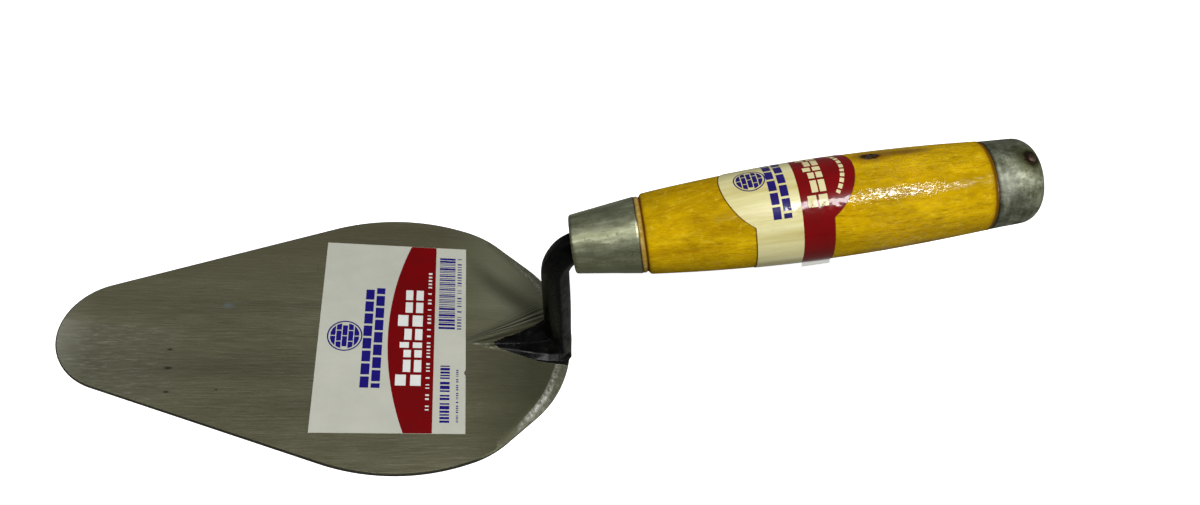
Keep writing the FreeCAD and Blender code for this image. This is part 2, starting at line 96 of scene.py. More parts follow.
# the floor glows a little where the camera sees it, and is dim to the tool
floor_finish = bpy.data.materials.new("pale_floor")
floor_finish.use_nodes = True
floor_nodes = floor_finish.node_tree.nodes
floor_nodes.remove(floor_nodes["Principled BSDF"])
pale_floor = node(floor_finish, "BsdfDiffuse", in_Color=(0.72, 0.72, 0.715, 1.0))
floor_glow = node(floor_finish, "Emission", in_Strength=0.74)
seen_floor = node(floor_finish, "AddShader", in_0=pale_floor.outputs[0], in_1=floor_glow.outputs[0])
dim_floor = node(floor_finish, "BsdfDiffuse", in_Color=(0.17, 0.17, 0.16, 1.0))
floor_sight = node(floor_finish, "LightPath").outputs["Is Camera Ray"]
floor_choice = node(floor_finish, "MixShader", in_0=floor_sight, in_1=dim_floor.outputs[0],
                    in_2=seen_floor.outputs[0])
join(floor_finish, floor_choice.outputs[0], floor_nodes["Material Output"].inputs["Surface"])

floor_mesh = bpy.data.meshes.new("studio_floor")
floor_corners = [(FLOOR_HALF * across, FLOOR_HALF * along, FLOOR_HEIGHT)
                 for across, along in ((-1, -1), (1, -1), (1, 1), (-1, 1))]
floor_mesh.from_pydata(floor_corners, [], [(0, 1, 2, 3)])
floor = bpy.data.objects.new("studio_floor", floor_mesh)
scene.collection.objects.link(floor)
show(floor, floor_finish)

room = bpy.data.worlds.new("studio_room")
scene.world = room
room.use_nodes = True
room_light = room.node_tree.nodes["Background"].inputs
room_light["Color"].default_value = (0.98, 1.0, 0.98, 1.0)
room_light["Strength"].default_value = 0.20


def hang_lamp(name, place, aim, size, watts):
    """A soft lamp with a square front at place, turned to aim."""
    lamp_data = bpy.data.lights.new(name, "AREA")
    lamp_data.shape = "RECTANGLE"
    lamp_data.size, lamp_data.size_y = size
    lamp_data.energy = watts
    lamp = bpy.data.objects.new(name, lamp_data)
    lamp.location = place
    lamp.rotation_euler = (Vector(aim) - Vector(place)).to_track_quat("-Z", "Y").to_euler()
    scene.collection.objects.link(lamp)


hang_lamp("key_softbox", (0.05, -0.72, 2.0), (0.0, 0.0, 0.05), (0.6, 0.45), 44.0)
hang_lamp("left_fill", (-1.6, -0.5, 1.3), (0.0, 0.0, 0.0), (0.8, 0.8), 6.0)
hang_lamp("right_fill", (1.5, -0.5, 0.8), (0.0, 0.0, 0.04), (0.8, 0.8), 12.0)

camera_data = bpy.data.cameras.new("studio_camera")
camera_data.sensor_fit = "HORIZONTAL"
camera_data.sensor_width = 36.0
camera_data.lens = 27.27
camera_data.clip_start = 0.01
camera = bpy.data.objects.new("studio_camera", camera_data)
camera.location = (-0.0654, -0.1668, 0.3003)
camera.rotation_euler = [math.radians(turn) for turn in (35.251, -12.268, -6.063)]
scene.collection.objects.link(camera)
scene.camera = camera

# ---------------------------------------------------------------------------
# Blade, root and shank: one drop forging in carbon steel. The blade is drawn
# out and ground bright, its rear flanks have a ground bevel, and the root and
# the cranked shank are dipped in black lacquer. Its square tang is in the grip.
# ---------------------------------------------------------------------------
TIP_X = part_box("forged_blade")[0].x / MM
HEEL_X, HEEL_HALF = 5.1, 7.5
NOSE_RADIUS = 21.2
NOSE_CENTRE = (TIP_X + NOSE_RADIUS, 0.0)
SHOULDER_RADIUS, SHOULDER_CENTRE = 75.0, (-56.86, -22.6)
CORNER_RADIUS, CORNER_CENTRE = 37.0, (-44.0, 13.2)
HEEL_RADIUS, HEEL_CENTRE = 42.0, (-36.23, 0.0)
SIDE_TURN, SHOULDER_TURN, FLANK_TURN, HEEL_TURN = 110.56, 70.3, 49.0, 10.3
HEEL_THICK, NOSE_THICK, TAPER_START = 2.2, 1.2, -30.0
LOWER_EDGE = 0.3
SIDE_BEVEL, BEVEL_GROWTH, BEVEL_START, BEVEL_RUN = 0.42, 4.73, -24.0, 26.0
SIDE_DROP, BEVEL_SLOPE = 0.25, 0.13
BLADE_ACROSS = 30
DEEP_INSIDE = -3.0


def on_arc(centre, radius, turn):
    """The place at an angle, in degrees, on an arc."""
    return (centre[0] + radius * math.cos(math.radians(turn)),
            centre[1] + radius * math.sin(math.radians(turn)))


def around(centre, radius, first, last, count):
    """Points on an arc of the blade's edge, from one angle up to the next."""
    return [on_arc(centre, radius, first + (last - first) * k / count) for k in range(count)]


def straight(start, end, count):
    return [(start[0] + (end[0] - start[0]) * k / count,
             start[1] + (end[1] - start[1]) * k / count) for k in range(count)]


blade_edge = around(NOSE_CENTRE, NOSE_RADIUS, 180.0, SIDE_TURN, 26)
blade_edge += straight(on_arc(NOSE_CENTRE, NOSE_RADIUS, SIDE_TURN),
                       on_arc(SHOULDER_CENTRE, SHOULDER_RADIUS, SIDE_TURN), 40)
blade_edge += around(SHOULDER_CENTRE, SHOULDER_RADIUS, SIDE_TURN, SHOULDER_TURN, 26)
blade_edge += around(CORNER_CENTRE, CORNER_RADIUS, SHOULDER_TURN, FLANK_TURN, 12)
blade_edge += straight(on_arc(CORNER_CENTRE, CORNER_RADIUS, FLANK_TURN),
                       on_arc(HEEL_CENTRE, HEEL_RADIUS, FLANK_TURN), 10)
blade_edge += around(HEEL_CENTRE, HEEL_RADIUS, FLANK_TURN, HEEL_TURN, 24)
blade_edge.append((HEEL_X, HEEL_HALF))


def blade_top(x):
    """Height of the blade's top face; it thins towards the nose."""
    along = min(max((TAPER_START - x) / (TAPER_START - TIP_X), 0.0), 1.0)
    return HEEL_THICK + (NOSE_THICK - HEEL_THICK) * along


def edge_normal(k):
    """Outward direction at a point of the blade's edge, in plan."""
    if k == 0:
        return -1.0, 0.0
    before, after = blade_edge[k - 1], blade_edge[min(k + 1, len(blade_edge) - 1)]
    dx, dy = after[0] - before[0], after[1] - before[1]
    length = math.hypot(dx, dy)
    return -dy / length, dx / length


def bevel_width(x):
    """The grinder's bevel: narrow at the sides, wide along the rear flanks."""
    grown = min(max((x - BEVEL_START) / BEVEL_RUN, 0.0), 1.0)
    return SIDE_BEVEL + BEVEL_GROWTH * grown ** 0.8


def rim_seat(level, x):
    """How far a rim is set in from the blade's edge, and its height."""
    drop = SIDE_DROP + BEVEL_SLOPE * (bevel_width(x) - SIDE_BEVEL)
    return {"bottom": (LOWER_EDGE, 0.0), "bottom_edge": (0.0, LOWER_EDGE),
            "top_edge": (0.0, blade_top(x) - drop), "top": (bevel_width(x), blade_top(x))}[level]


def blade_point(k, inset, side):
    x, y = blade_edge[k]
    nx, ny = edge_normal(k)
    x, y = x - nx * inset, max(y - ny * inset, 0.0 if k == 0 else 0.02)
    return x, side * y


def blade_rim(shape, from_ridge, level):
    """One rim of the blade: its near side, its far side and its heel."""
    near, far, heel = [], [], []
    for k, (x_edge, _) in enumerate(blade_edge):
        inset, z = rim_seat(level, x_edge)
        for side, row in ((-1.0, near), (1.0, far)):
            if k == 0 and side > 0:
                row.append(near[0])
                continue
            x, y = blade_point(k, inset, side)
            row.append(shape.verts.new((x * MM, y * MM, z * MM)))
            row[-1][from_ridge] = 0.0 if level == "top" else bevel_width(x_edge)
    for j in range(1, BLADE_ACROSS):
        heel.append(shape.verts.new(near[-1].co.lerp(far[-1].co, j / BLADE_ACROSS)))
        heel[-1][from_ridge] = near[-1][from_ridge]
    return near, far, heel


def skin_across(shape, from_ridge, rim, upward):
    """Strips across the blade, from one side of a rim to the other."""
    near, far, heel = rim
    rows = [[near[0]]]
    for left, right in zip(near[1:-1], far[1:-1]):
        cross = [shape.verts.new(left.co.lerp(right.co, j / BLADE_ACROSS))
                 for j in range(1, BLADE_ACROSS)]
        for vert in cross:
            vert[from_ridge] = DEEP_INSIDE
        rows.append([left] + cross + [right])
    rows.append([near[-1]] + heel + [far[-1]])
    for row, following in zip(rows, rows[1:]):
        for j in range(BLADE_ACROSS):
            corners = [row[min(j, len(row) - 1)], following[j], following[j + 1]]
            if len(row) > 1:
                corners.append(row[j + 1])
            shape.faces.new(corners if upward else corners[::-1])


def forge_blade():
    """The blade plate: nested rims, joined, with a skin above and below."""
    shape = bmesh.new()
    from_ridge = shape.verts.layers.float.new("from_ridge")
    rims = [blade_rim(shape, from_ridge, level)
            for level in ("bottom", "bottom_edge", "top_edge", "top")]
    rings = [near + heel + far[:0:-1] for near, far, heel in rims]
    for lower, upper in zip(rings, rings[1:]):
        for k in range(len(lower)):
            m = (k + 1) % len(lower)
            shape.faces.new((lower[k], lower[m], upper[m], upper[k]))
    skin_across(shape, from_ridge, rims[0], False)
    skin_across(shape, from_ridge, rims[-1], True)
    return shape


# root sections: place along the blade, half width at the blade, half width of
# the flat ridge, height of the ridge, and how far the ridge strays sideways
ROOT = [(-32.5, 0.3, 0.1, 2.2, -2.3), (-29.0, 1.6, 0.5, 2.75, -2.2), (-24.0, 3.3, 1.1, 3.4, -1.9),
        (-18.0, 5.2, 1.9, 4.1, -1.3), (-14.0, 6.9, 2.5, 4.7, -0.9), (-9.0, 8.7, 3.3, 6.0, -0.5),
        (-3.5, 9.8, 4.2, 8.8, -0.2), (1.0, 9.9, 4.3, 8.2, 0.0), (5.2, 8.2, 3.6, 4.2, 0.0),
        (6.0, 7.0, 3.2, 3.2, 0.0)]
ROOT_FLOOR, ROOT_WALL, RIDGE_CROWN = 1.0, 2.0, 0.12
HOLLOW_SHARE, HOLLOW_RISE = 0.42, 0.20
BEND_X, BEND_Z, BEND_RADIUS = -11.25, 62.99, 17.0
SHANK_LEAN, GRIP_RISE = math.radians(11.7), math.radians(18.1)
SHANK_FOOT, FOOT_FLARE = 1.4, 3.2
WAIST_HEIGHT, WAIST_SPREAD = 26.0, 14.0
BAR_DEPTH, BAR_BREADTH, BAR_SIDES = 4.95, 4.6, 48
FACET, FACET_START, FACET_SHARE = math.radians(45.0), math.radians(14.0), 0.65
SHANK_STEPS, BEND_STEPS = 40, 24
GRIP_START = Vector((-5.5, 0.0, 64.8))
TANG = [(11.4, 4.6), (92.0, 2.5), (98.0, 0.7)]
SKIN_STEP = 0.36


def forge_root():
    """The wedge-shaped root that the shank grows out of."""
    shape = bmesh.new()
    rows = []
    for x, half, ridge, height, stray in ROOT:
        hollow = ridge + HOLLOW_SHARE * (half - ridge)
        rise = ROOT_WALL + 0.05 + (height - ROOT_WALL) * HOLLOW_RISE
        slope = [(half, ROOT_FLOOR), (half, ROOT_WALL), (hollow, rise), (ridge, height - RIDGE_CROWN)]
        section = [(-y, z) for y, z in slope] + [(0.0, height)] + slope[::-1]
        rows.append([shape.verts.new((x * MM, (stray + y) * MM, z * MM)) for y, z in section])
    for row, following in zip(rows, rows[1:]):
        for j in range(len(row)):
            m = (j + 1) % len(row)
            shape.faces.new((row[j], following[j], following[m], row[m]))
    shape.faces.new(rows[0])
    shape.faces.new(rows[-1][::-1])
    return shape


def bar_section(turn):
    """Outline of the hammered bar: nearly round, with eight soft facets."""
    off_facet = (turn + FACET_START) % FACET - FACET / 2
    flat = 1.02 * math.cos(FACET / 2) / math.cos(off_facet)
    return 1.0 - FACET_SHARE + FACET_SHARE * flat


def bar_stations():
    """Middle, direction and half sizes of the bar from its foot to the tang."""
    up = Vector((-math.sin(SHANK_LEAN), 0.0, math.cos(SHANK_LEAN)))
    out = Vector((math.cos(GRIP_RISE), 0.0, math.sin(GRIP_RISE)))
    inward = (out - up * up.dot(out)).normalized()
    corner = Vector((BEND_X, 0.0, BEND_Z))
    swing = up.angle(out)
    bend_start = corner - up * (BEND_RADIUS * math.tan(swing / 2))
    foot = corner - up * ((BEND_Z - SHANK_FOOT) / up.z)
    centre = bend_start + inward * BEND_RADIUS
    stations = []
    for k in range(SHANK_STEPS):
        middle = foot.lerp(bend_start, k / SHANK_STEPS)
        flare = math.exp(-(middle.z - SHANK_FOOT) / FOOT_FLARE)
        thick = 1.0 + 0.05 * math.exp(-((middle.z - WAIST_HEIGHT) / WAIST_SPREAD) ** 2)
        stations.append((middle, up, BAR_DEPTH * (thick + 0.04 * flare),
                         BAR_BREADTH * (thick + 0.75 * flare)))
    for k in range(BEND_STEPS + 1):
        turned = swing * k / BEND_STEPS
        arm = (bend_start - centre) * math.cos(turned) + up * BEND_RADIUS * math.sin(turned)
        way = up * math.cos(turned) + inward * math.sin(turned)
        swell = math.exp(-((k - 15) / 6.0) ** 2)
        stations.append((centre + arm * (1 + 0.035 * swell), way,
                         BAR_DEPTH * (1 + 0.10 * swell), BAR_BREADTH * (1 + 0.03 * swell)))
    for along, half in TANG:
        stations.append((GRIP_START + out * along, out, half, half))
    return stations


def forge_bar():
    """The cranked shank and its tang, swept along one line."""
    shape = bmesh.new()
    rings = []
    across = Vector((0.0, 1.0, 0.0))
    for middle, way, depth, breadth in bar_stations():
        front = way.cross(across).normalized()
        ring = []
        for j in range(BAR_SIDES):
            turn = 2 * math.pi * j / BAR_SIDES
            arm = front * depth * math.cos(turn) + across * breadth * math.sin(turn)
            ring.append(shape.verts.new((middle + arm * bar_section(turn)) * MM))
        rings.append(ring)
    for ring, following in zip(rings, rings[1:]):
        for j in range(BAR_SIDES):
            m = (j + 1) % BAR_SIDES
            shape.faces.new((ring[j], ring[m], following[m], following[j]))
    shape.faces.new(rings[0][::-1])
    shape.faces.new(rings[-1])
    return shape


def piece_from(name, shape, keep_edges=35.0):
    """A scene object from a finished shape, smooth except at its edges."""
    bmesh.ops.recalc_face_normals(shape, faces=shape.faces[:])
    mesh = bpy.data.meshes.new(name)
    shape.to_mesh(mesh)
    shape.free()
    for face in mesh.polygons:
        face.use_smooth = True
    mesh.set_sharp_from_angle(angle=math.radians(keep_edges))
    piece = bpy.data.objects.new(name, mesh)
    scene.collection.objects.link(piece)
    return piece


def settle(piece):
    """Works a piece's modifiers into its mesh."""
    graph = bpy.context.evaluated_depsgraph_get()
    mesh = bpy.data.meshes.new_from_object(piece.evaluated_get(graph))
    piece.modifiers.clear()
    piece.data = mesh
    return mesh


def weld_root_and_bar():
    """Root and bar grown into one skin, softened as a hammer leaves it."""
    both = bmesh.new()
    for part in (forge_root(), forge_bar()):
        lump = bpy.data.meshes.new("lump")
        bmesh.ops.recalc_face_normals(part, faces=part.faces[:])
        part.to_mesh(lump)
        part.free()
        both.from_mesh(lump)
        bpy.data.meshes.remove(lump)
    blank = piece_from("root_blank", both)
    skin = blank.modifiers.new("skin", "REMESH")
    skin.mode = "VOXEL"
    skin.voxel_size = SKIN_STEP * MM
    skin.adaptivity = 0.0
    soften = blank.modifiers.new("soften", "SMOOTH")
    soften.factor = 0.5
    soften.iterations = 5
    grown = bmesh.new()
    grown.from_mesh(settle(blank))
    bpy.data.objects.remove(blank)
    return grown


# edge of the black dip, in plan: place along the blade, how far it reaches
# towards the near side and towards the far side
DIP = [(-23.5, -3.2, -2.2), (-20.0, -4.9, -0.6), (-17.0, -6.1, 0.3), (-12.8, -7.6, 1.9),
       (-9.0, -8.9, 4.4), (-6.0, -9.9, 6.6), (-3.0, -10.4, 8.6), (1.0, -10.8, 10.2), (7.0, -10.8, 10.8)]
DIP_ALL_ROUND = 9.0


def dip_depth(x, y):
    """How far inside the lacquered patch a place is; below zero it is bare."""
    if x <= DIP[0][0]:
        return -math.hypot(x - DIP[0][0], y - DIP[0][1])
    for (x0, near0, far0), (x1, near1, far1) in zip(DIP, DIP[1:]):
        if x <= x1 or x1 == DIP[-1][0]:
            share = (x - x0) / (x1 - x0)
            near = near0 + (near1 - near0) * share
            far = far0 + (far1 - far0) * share
            return min(y - near, far - y)


forging_shape = forge_blade()
bmesh.ops.recalc_face_normals(forging_shape, faces=forging_shape.faces[:])
bar_shape = weld_root_and_bar()
bar_from_ridge = bar_shape.verts.layers.float.new("from_ridge")
for vert in bar_shape.verts:
    vert[bar_from_ridge] = DEEP_INSIDE
bar_mesh = bpy.data.meshes.new("bar")
bar_shape.to_mesh(bar_mesh)
bar_shape.free()
forging_shape.from_mesh(bar_mesh)
for face in forging_shape.faces:
    face.smooth = True
forging_mesh = bpy.data.meshes.new("forged_blade_and_shank")
forging_shape.to_mesh(forging_mesh)
forging_shape.free()
forging_mesh.set_sharp_from_angle(angle=math.radians(24.0))
forging = bpy.data.objects.new("forged_blade_and_shank", forging_mesh)
scene.collection.objects.link(forging)
lacquered = forging_mesh.attributes.new("lacquered", "FLOAT", "POINT")
for point in forging_mesh.vertices:
    x, y, z = point.co / MM
    depth = dip_depth(x, y) if z < DIP_ALL_ROUND else 3.0
    lacquered.data[point.index].value = min(max(depth, -4.0), 3.0)


def places(finish):
    """The piece's own measure, in metres, as a texture place."""
    return node(finish, "TexCoord").outputs["Object"]


def axes(finish, place):
    """The x, y and z of a place or a direction."""
    return node(finish, "SeparateXYZ", in_0=place).outputs


def marks(finish, place, stretch, detail=4.0, rough=0.6, offset=(0.0, 0.0, 0.0)):
    """Noise marks; stretch is how many to the metre along each way."""
    spread = node(finish, "Mapping", in_Vector=place, in_Scale=stretch, in_Location=offset)
    made = node(finish, "TexNoise", in_Vector=spread.outputs[0], in_Scale=1.0,
                in_Detail=detail, in_Roughness=rough)
    return made.outputs[0]


def steps(finish, level, *stops):
    """Turns a level into colour or grey by stops of (level, colour)."""
    made = node(finish, "ValToRGB", in_0=level)
    band = made.color_ramp
    while len(band.elements) < len(stops):
        band.elements.new(0.5)
    for element, (at, colour) in zip(band.elements, stops):
        element.position = at
        element.color = (*colour, 1.0) if not isinstance(colour, float) else (colour,) * 3 + (1.0,)
    return made.outputs[0]


def reach(finish, level, low, high, start=0.0, end=1.0):
    """A level mapped from one range into another, held at its ends."""
    made = node(finish, "MapRange", in_0=level, in_1=low, in_2=high, in_3=start, in_4=end)
    return made.outputs[0]


def sums(finish, kind, first, second=0.0, third=0.0):
    return node(finish, "Math", operation=kind, in_0=first, in_1=second, in_2=third).outputs[0]


def times(finish, first, *others):
    """The product of two or more levels."""
    for other in others:
        first = sums(finish, "MULTIPLY", first, other)
    return first


def plus(finish, first, level, share=1.0):
    """A level with a share of another level added."""
    return sums(finish, "MULTIPLY_ADD", level, share, first)


def over(finish, share, under, cover, kind="MIX"):
    """Lays one colour over another by a share."""
    made = node(finish, "Mix", data_type="RGBA", blend_type=kind)
    for socket, value in ((made.inputs[0], share), (made.inputs[6], under), (made.inputs[7], cover)):
        if isinstance(value, bpy.types.NodeSocket):
            join(finish, value, socket)
        elif isinstance(value, tuple):
            socket.default_value = (*value, 1.0)
        else:
            socket.default_value = value
    return made.outputs[2]


def toned(finish, colour, level, *stops):
    """A colour made darker or lighter by the steps of a level."""
    return over(finish, 1.0, colour, steps(finish, level, *stops), "MULTIPLY")


def spot(finish, place, centre, stretch=(1.0, 1.0, 1.0)):
    """Distance from one place on the piece, in metres, stretched if asked."""
    away = node(finish, "VectorMath", operation="SUBTRACT", in_0=place, in_1=centre)
    wide = node(finish, "VectorMath", operation="MULTIPLY", in_0=away.outputs[0], in_1=stretch)
    return node(finish, "VectorMath", operation="LENGTH", in_0=wide.outputs[0]).outputs["Value"]


def raise_marks(finish, shader, height, depth, target="Normal"):
    """Gives a finish its fine relief, depth in metres."""
    bump = node(finish, "Bump", in_Height=height, in_Strength=1.0, in_Distance=depth)
    join(finish, bump.outputs[0], shader.inputs[target])


# brush marks: along the blade, turning into a fan round the tip of the root
FAN_X, FAN_Y = -0.036, -0.002
# run and offset of the painted dark reflection beside the root
REFLECTION_RUN, REFLECTION_OFFSET = (0.634, 0.774), 0.0042
forged, forged_shader = start_finish("ground_steel", (0.3, 0.29, 0.21), 0.42, 1.0)
place = places(forged)
tool_x, tool_y, tool_z = axes(forged, place)
clouds = marks(forged, place, (14.0, 22.0, 10.0), 3.0, 0.5)
from_fan_x = sums(forged, "SUBTRACT", tool_x, FAN_X)
fan = sums(forged, "ARCTAN2", sums(forged, "SUBTRACT", tool_y, FAN_Y), from_fan_x)
fan_place = node(forged, "CombineXYZ", in_0=times(forged, fan, 62.0), in_1=times(forged, from_fan_x, 90.0))
fan_marks = marks(forged, fan_place.outputs[0], (1.0, 1.0, 1.0), 5.0, 0.7)
long_marks = marks(forged, place, (90.0, 1500.0, 60.0), 6.0, 0.8)
round_root = reach(forged, plus(forged, tool_x, clouds, 0.02), -0.026, -0.012, 0.0, 0.4)
streaks = over(forged, round_root, long_marks, fan_marks)
steel = steps(forged, streaks, (0.30, (0.100, 0.095, 0.056)), (0.44, (0.174, 0.167, 0.103)),
              (0.56, (0.220, 0.212, 0.138)), (0.74, (0.38, 0.375, 0.285)))
steel = toned(forged, steel, clouds, (0.3, 0.86), (0.7, 1.12))
broad = marks(forged, place, (9.0, 120.0, 10.0), 4.0, 0.6, (0.0, 3.0, 0.0))
steel = toned(forged, steel, broad, (0.32, 0.82), (0.68, 1.16))

# painted light on the blade, by metres along and across it: a browner far side as a
# painted reflection, a brighter near side of the nose as a painted highlight, a painted
# shadow on the near side of the heel, a painted light reflection on its far side, and a painted dark band
# of reflection beside the root
# painted reflection: the far side of the blade made browner and darker
far_side_reflection = reach(forged, plus(forged, tool_y, clouds, 0.012), 0.012, 0.040, 0.0, 0.45)
steel = over(forged, far_side_reflection, steel, (0.19, 0.17, 0.10))
# painted highlight: the near side of the nose and its tip made brighter, with light glints
near_nose_sheen = reach(forged, plus(forged, tool_y, tool_x, 0.11), -0.0115, -0.0135)
glints = marks(forged, place, (190.0, 1100.0, 60.0), 5.0, 0.75, (0.0, 7.0, 0.0))
nose_sheen_share = times(forged, near_nose_sheen, reach(forged, tool_x, -0.120, -0.150, 0.0, 0.5))
nose_sheen_steel = steps(forged, glints, (0.40, (0.19, 0.185, 0.12)), (0.56, (0.30, 0.295, 0.22)),
                   (0.68, (0.62, 0.62, 0.52)))
steel = over(forged, nose_sheen_share, steel, nose_sheen_steel)
tip_highlight = times(forged, reach(forged, tool_x, -0.160, -0.1705, 0.0, 0.55),
                   sums(forged, "MAXIMUM", near_nose_sheen, 0.3))
steel = over(forged, tip_highlight, steel, (0.52, 0.51, 0.43))
# painted shadow: the near side of the heel darkened
heel_shadow = times(forged, reach(forged, tool_x, -0.036, -0.010, 0.3, 1.0),
                  reach(forged, tool_y, 0.004, -0.010), 0.75)
steel = over(forged, heel_shadow, steel, (0.055, 0.057, 0.033))
# painted reflection: the far side of the heel made lighter
heel_reflection = times(forged, reach(forged, tool_x, -0.042, -0.024, 0.0, 0.45),
                   reach(forged, tool_y, 0.004, 0.014))
steel = over(forged, heel_reflection, steel, (0.33, 0.345, 0.24))
# painted reflection: a dark band beside the root where the blade mirrors the shank and grip
reflection_y = sums(forged, "MULTIPLY_ADD", tool_y, REFLECTION_RUN[1], -REFLECTION_OFFSET)
off_reflection = sums(forged, "MULTIPLY_ADD", tool_x, REFLECTION_RUN[0], reflection_y)
handle_reflection = times(forged, reach(forged, tool_x, -0.034, -0.024),
                  reach(forged, sums(forged, "ABSOLUTE", off_reflection), 0.001, 0.0055, 1.0, 0.0),
                  reach(forged, tool_y, 0.002, 0.008, 0.0, 0.6))
steel = over(forged, handle_reflection, steel, (0.060, 0.062, 0.034))

# hammer creases that run back beside the root, drawn in colour as lines of painted shade and painted
# highlight
creased = times(forged, reach(forged, from_fan_x, 0.042, 0.028), reach(forged, fan, 0.28, 0.33),
                reach(forged, fan, 0.60, 0.42), 0.85)
creases = node(forged, "TexNoise", noise_dimensions="1D", in_W=plus(forged, fan, clouds, 0.10),
               in_Scale=34.0, in_Detail=4.0, in_Roughness=0.7).outputs[0]
# painted shade and highlight along the creases
crease_shade_tone = steps(forged, creases, (0.42, (0.012, 0.012, 0.008)), (0.50, (0.11, 0.11, 0.07)),
                    (0.62, (0.24, 0.245, 0.18)))
steel = over(forged, creased, steel, crease_shade_tone)

# pits as (x, y, size), in metres, then a blued spot and specks of scale
PITS = [(-0.1347, -0.0058, 0.0007), (-0.1343, -0.0129, 0.0010), (-0.1336, -0.0218, 0.0007),
        (-0.118, -0.021, 0.0004)]
for pit_x, pit_y, size in PITS:
    from_pit = spot(forged, place, (pit_x, pit_y, 0.0), (0.45, 1.0, 0.0))
    steel = over(forged, reach(forged, from_pit, size * 0.3, size * 0.8, 0.85, 0.0), steel,
                 (0.03, 0.028, 0.02))
from_blue = spot(forged, place, (-0.1181, 0.0121, 0.0), (0.6, 1.0, 0.0))
steel = over(forged, reach(forged, from_blue, 0.0003, 0.0016, 0.55, 0.0), steel, (0.20, 0.27, 0.30))
fine = marks(forged, place, (900.0, 1500.0, 400.0), 3.0, 0.6)
steel = over(forged, reach(forged, fine, 0.66, 0.74, 0.0, 0.55), steel, (0.07, 0.065, 0.045))

# the bevel of the rear flanks with a painted sheen, a painted highlight along its crest, and the edge's
# side faces darkened as painted shade
outward = node(forged, "Attribute", attribute_name="from_ridge").outputs["Fac"]
bevel_grit = marks(forged, place, (700.0, 500.0, 200.0), 6.0, 0.8, (2.0, 4.0, 1.0))
bevelled = times(forged, reach(forged, outward, 0.0, 0.15), reach(forged, tool_x, -0.022, -0.010), 0.7)
# the ground bevel, its grit lightened with a painted sheen
bevel_steel_and_sheen = steps(forged, bevel_grit, (0.35, (0.13, 0.13, 0.085)), (0.55, (0.24, 0.24, 0.18)),
                    (0.72, (0.60, 0.60, 0.52)))
steel = over(forged, bevelled, steel, bevel_steel_and_sheen)
# painted highlight along the bevel's crest
from_highlight_line = sums(forged, "ABSOLUTE", sums(forged, "SUBTRACT", outward, 1.2))
crest_highlight = times(forged, reach(forged, from_highlight_line, 0.0, 1.4, 0.8, 0.0),
              reach(forged, tool_x, -0.018, -0.008), reach(forged, tool_y, -0.008, -0.024, 0.25, 1.0),
              reach(forged, bevel_grit, 0.40, 0.62, 0.05, 1.0))
steel = over(forged, crest_highlight, steel, (1.0, 1.0, 0.95))
skin = node(forged, "NewGeometry")
flat_up = axes(forged, skin.outputs["True Normal"])[2]
# painted shade: the blade's edge faces, and the narrow bevel along its sides, darkened by the way they
# face
side_edge_shade = times(forged, reach(forged, flat_up, 0.99, 0.93), reach(forged, tool_x, -0.026, -0.032))
rim = times(forged, reach(forged, outward, 0.02, 0.05),
            sums(forged, "MAXIMUM", reach(forged, flat_up, 0.75, 0.5), side_edge_shade), 0.95)
steel = over(forged, rim, steel, (0.014, 0.013, 0.009))

# the root's near-facing flank, bare steel darkened as painted shade between blade and lacquer, with a few
# painted glints
to_rear, to_far, _ = axes(forged, skin.outputs["Normal"])
# painted shade: surfaces above the blade that face the near side are darkened
near_flank_shade = times(forged, reach(forged, tool_z, 0.002203, 0.002215), reach(forged, to_far, 0.0, -0.05))
flank_marks = marks(forged, place, (260.0, 900.0, 500.0), 5.0, 0.75, (1.0, 0.0, 7.0))
flank_shade_tone = steps(forged, flank_marks, (0.40, (0.016, 0.016, 0.010)), (0.55, (0.045, 0.045, 0.030)),
                   (0.70, (0.20, 0.20, 0.16)))
steel = over(forged, times(forged, near_flank_shade, 0.9), steel, flank_shade_tone)
steel_rough = plus(forged, reach(forged, streaks, 0.25, 0.8, 0.52, 0.38), near_flank_shade, 0.12)
steel_height = plus(forged, streaks, fine, 0.3)

# the black dip: dusty, chipped, and with a painted grey sheen on its rear-facing side
ragged = marks(forged, place, (900.0, 900.0, 900.0), 5.0, 0.65)
dip_field = node(forged, "Attribute", attribute_name="lacquered").outputs["Fac"]
dip_line = sums(forged, "ADD", dip_field, sums(forged, "MULTIPLY_ADD", ragged, 1.5, -0.75))
dip_share = reach(forged, dip_line, -0.12, 0.12)
dust = marks(forged, place, (260.0, 260.0, 160.0), 5.0, 0.7)
lacquer = steps(forged, dust, (0.40, (0.0010, 0.0010, 0.0010)), (0.62, (0.0035, 0.0035, 0.0035)),
                (0.78, (0.025, 0.025, 0.024)))
# painted sheen: lacquer facing the rear made grey
rear_facing_sheen = times(forged, reach(forged, to_rear, 0.15, 0.55), reach(forged, dust, 0.40, 0.60, 0.2, 1.0), 0.8)
lacquer = over(forged, rear_facing_sheen, lacquer, (0.030, 0.030, 0.028))
chip_marks = marks(forged, place, (420.0, 420.0, 300.0), 6.0, 0.75, (3.1, 0.7, 1.9))
chips = reach(forged, chip_marks, 0.71, 0.74, 0.0, 0.75)
lacquer = over(forged, chips, lacquer, (0.12, 0.12, 0.115))
join(forged, over(forged, dip_share, steel, lacquer), forged_shader.inputs["Base Color"])
join(forged, reach(forged, dip_share, 0.0, 1.0, 1.0, 0.0), forged_shader.inputs["Metallic"])
forged_rough = node(forged, "Mix", data_type="FLOAT", in_0=dip_share, in_2=steel_rough,
                    in_3=reach(forged, dust, 0.3, 0.7, 0.20, 0.42))
join(forged, forged_rough.outputs[0], forged_shader.inputs["Roughness"])
forged_height = node(forged, "Mix", data_type="FLOAT", in_0=dip_share, in_2=steel_height,
                     in_3=sums(forged, "ADD", dust, dip_share))
raise_marks(forged, forged_shader, forged_height.outputs[0], 0.00006)
forged_shader.inputs["Specular IOR Level"].default_value = 0.25
forged_shader.inputs["IOR"].default_value = 1.2
show(forging, forged)
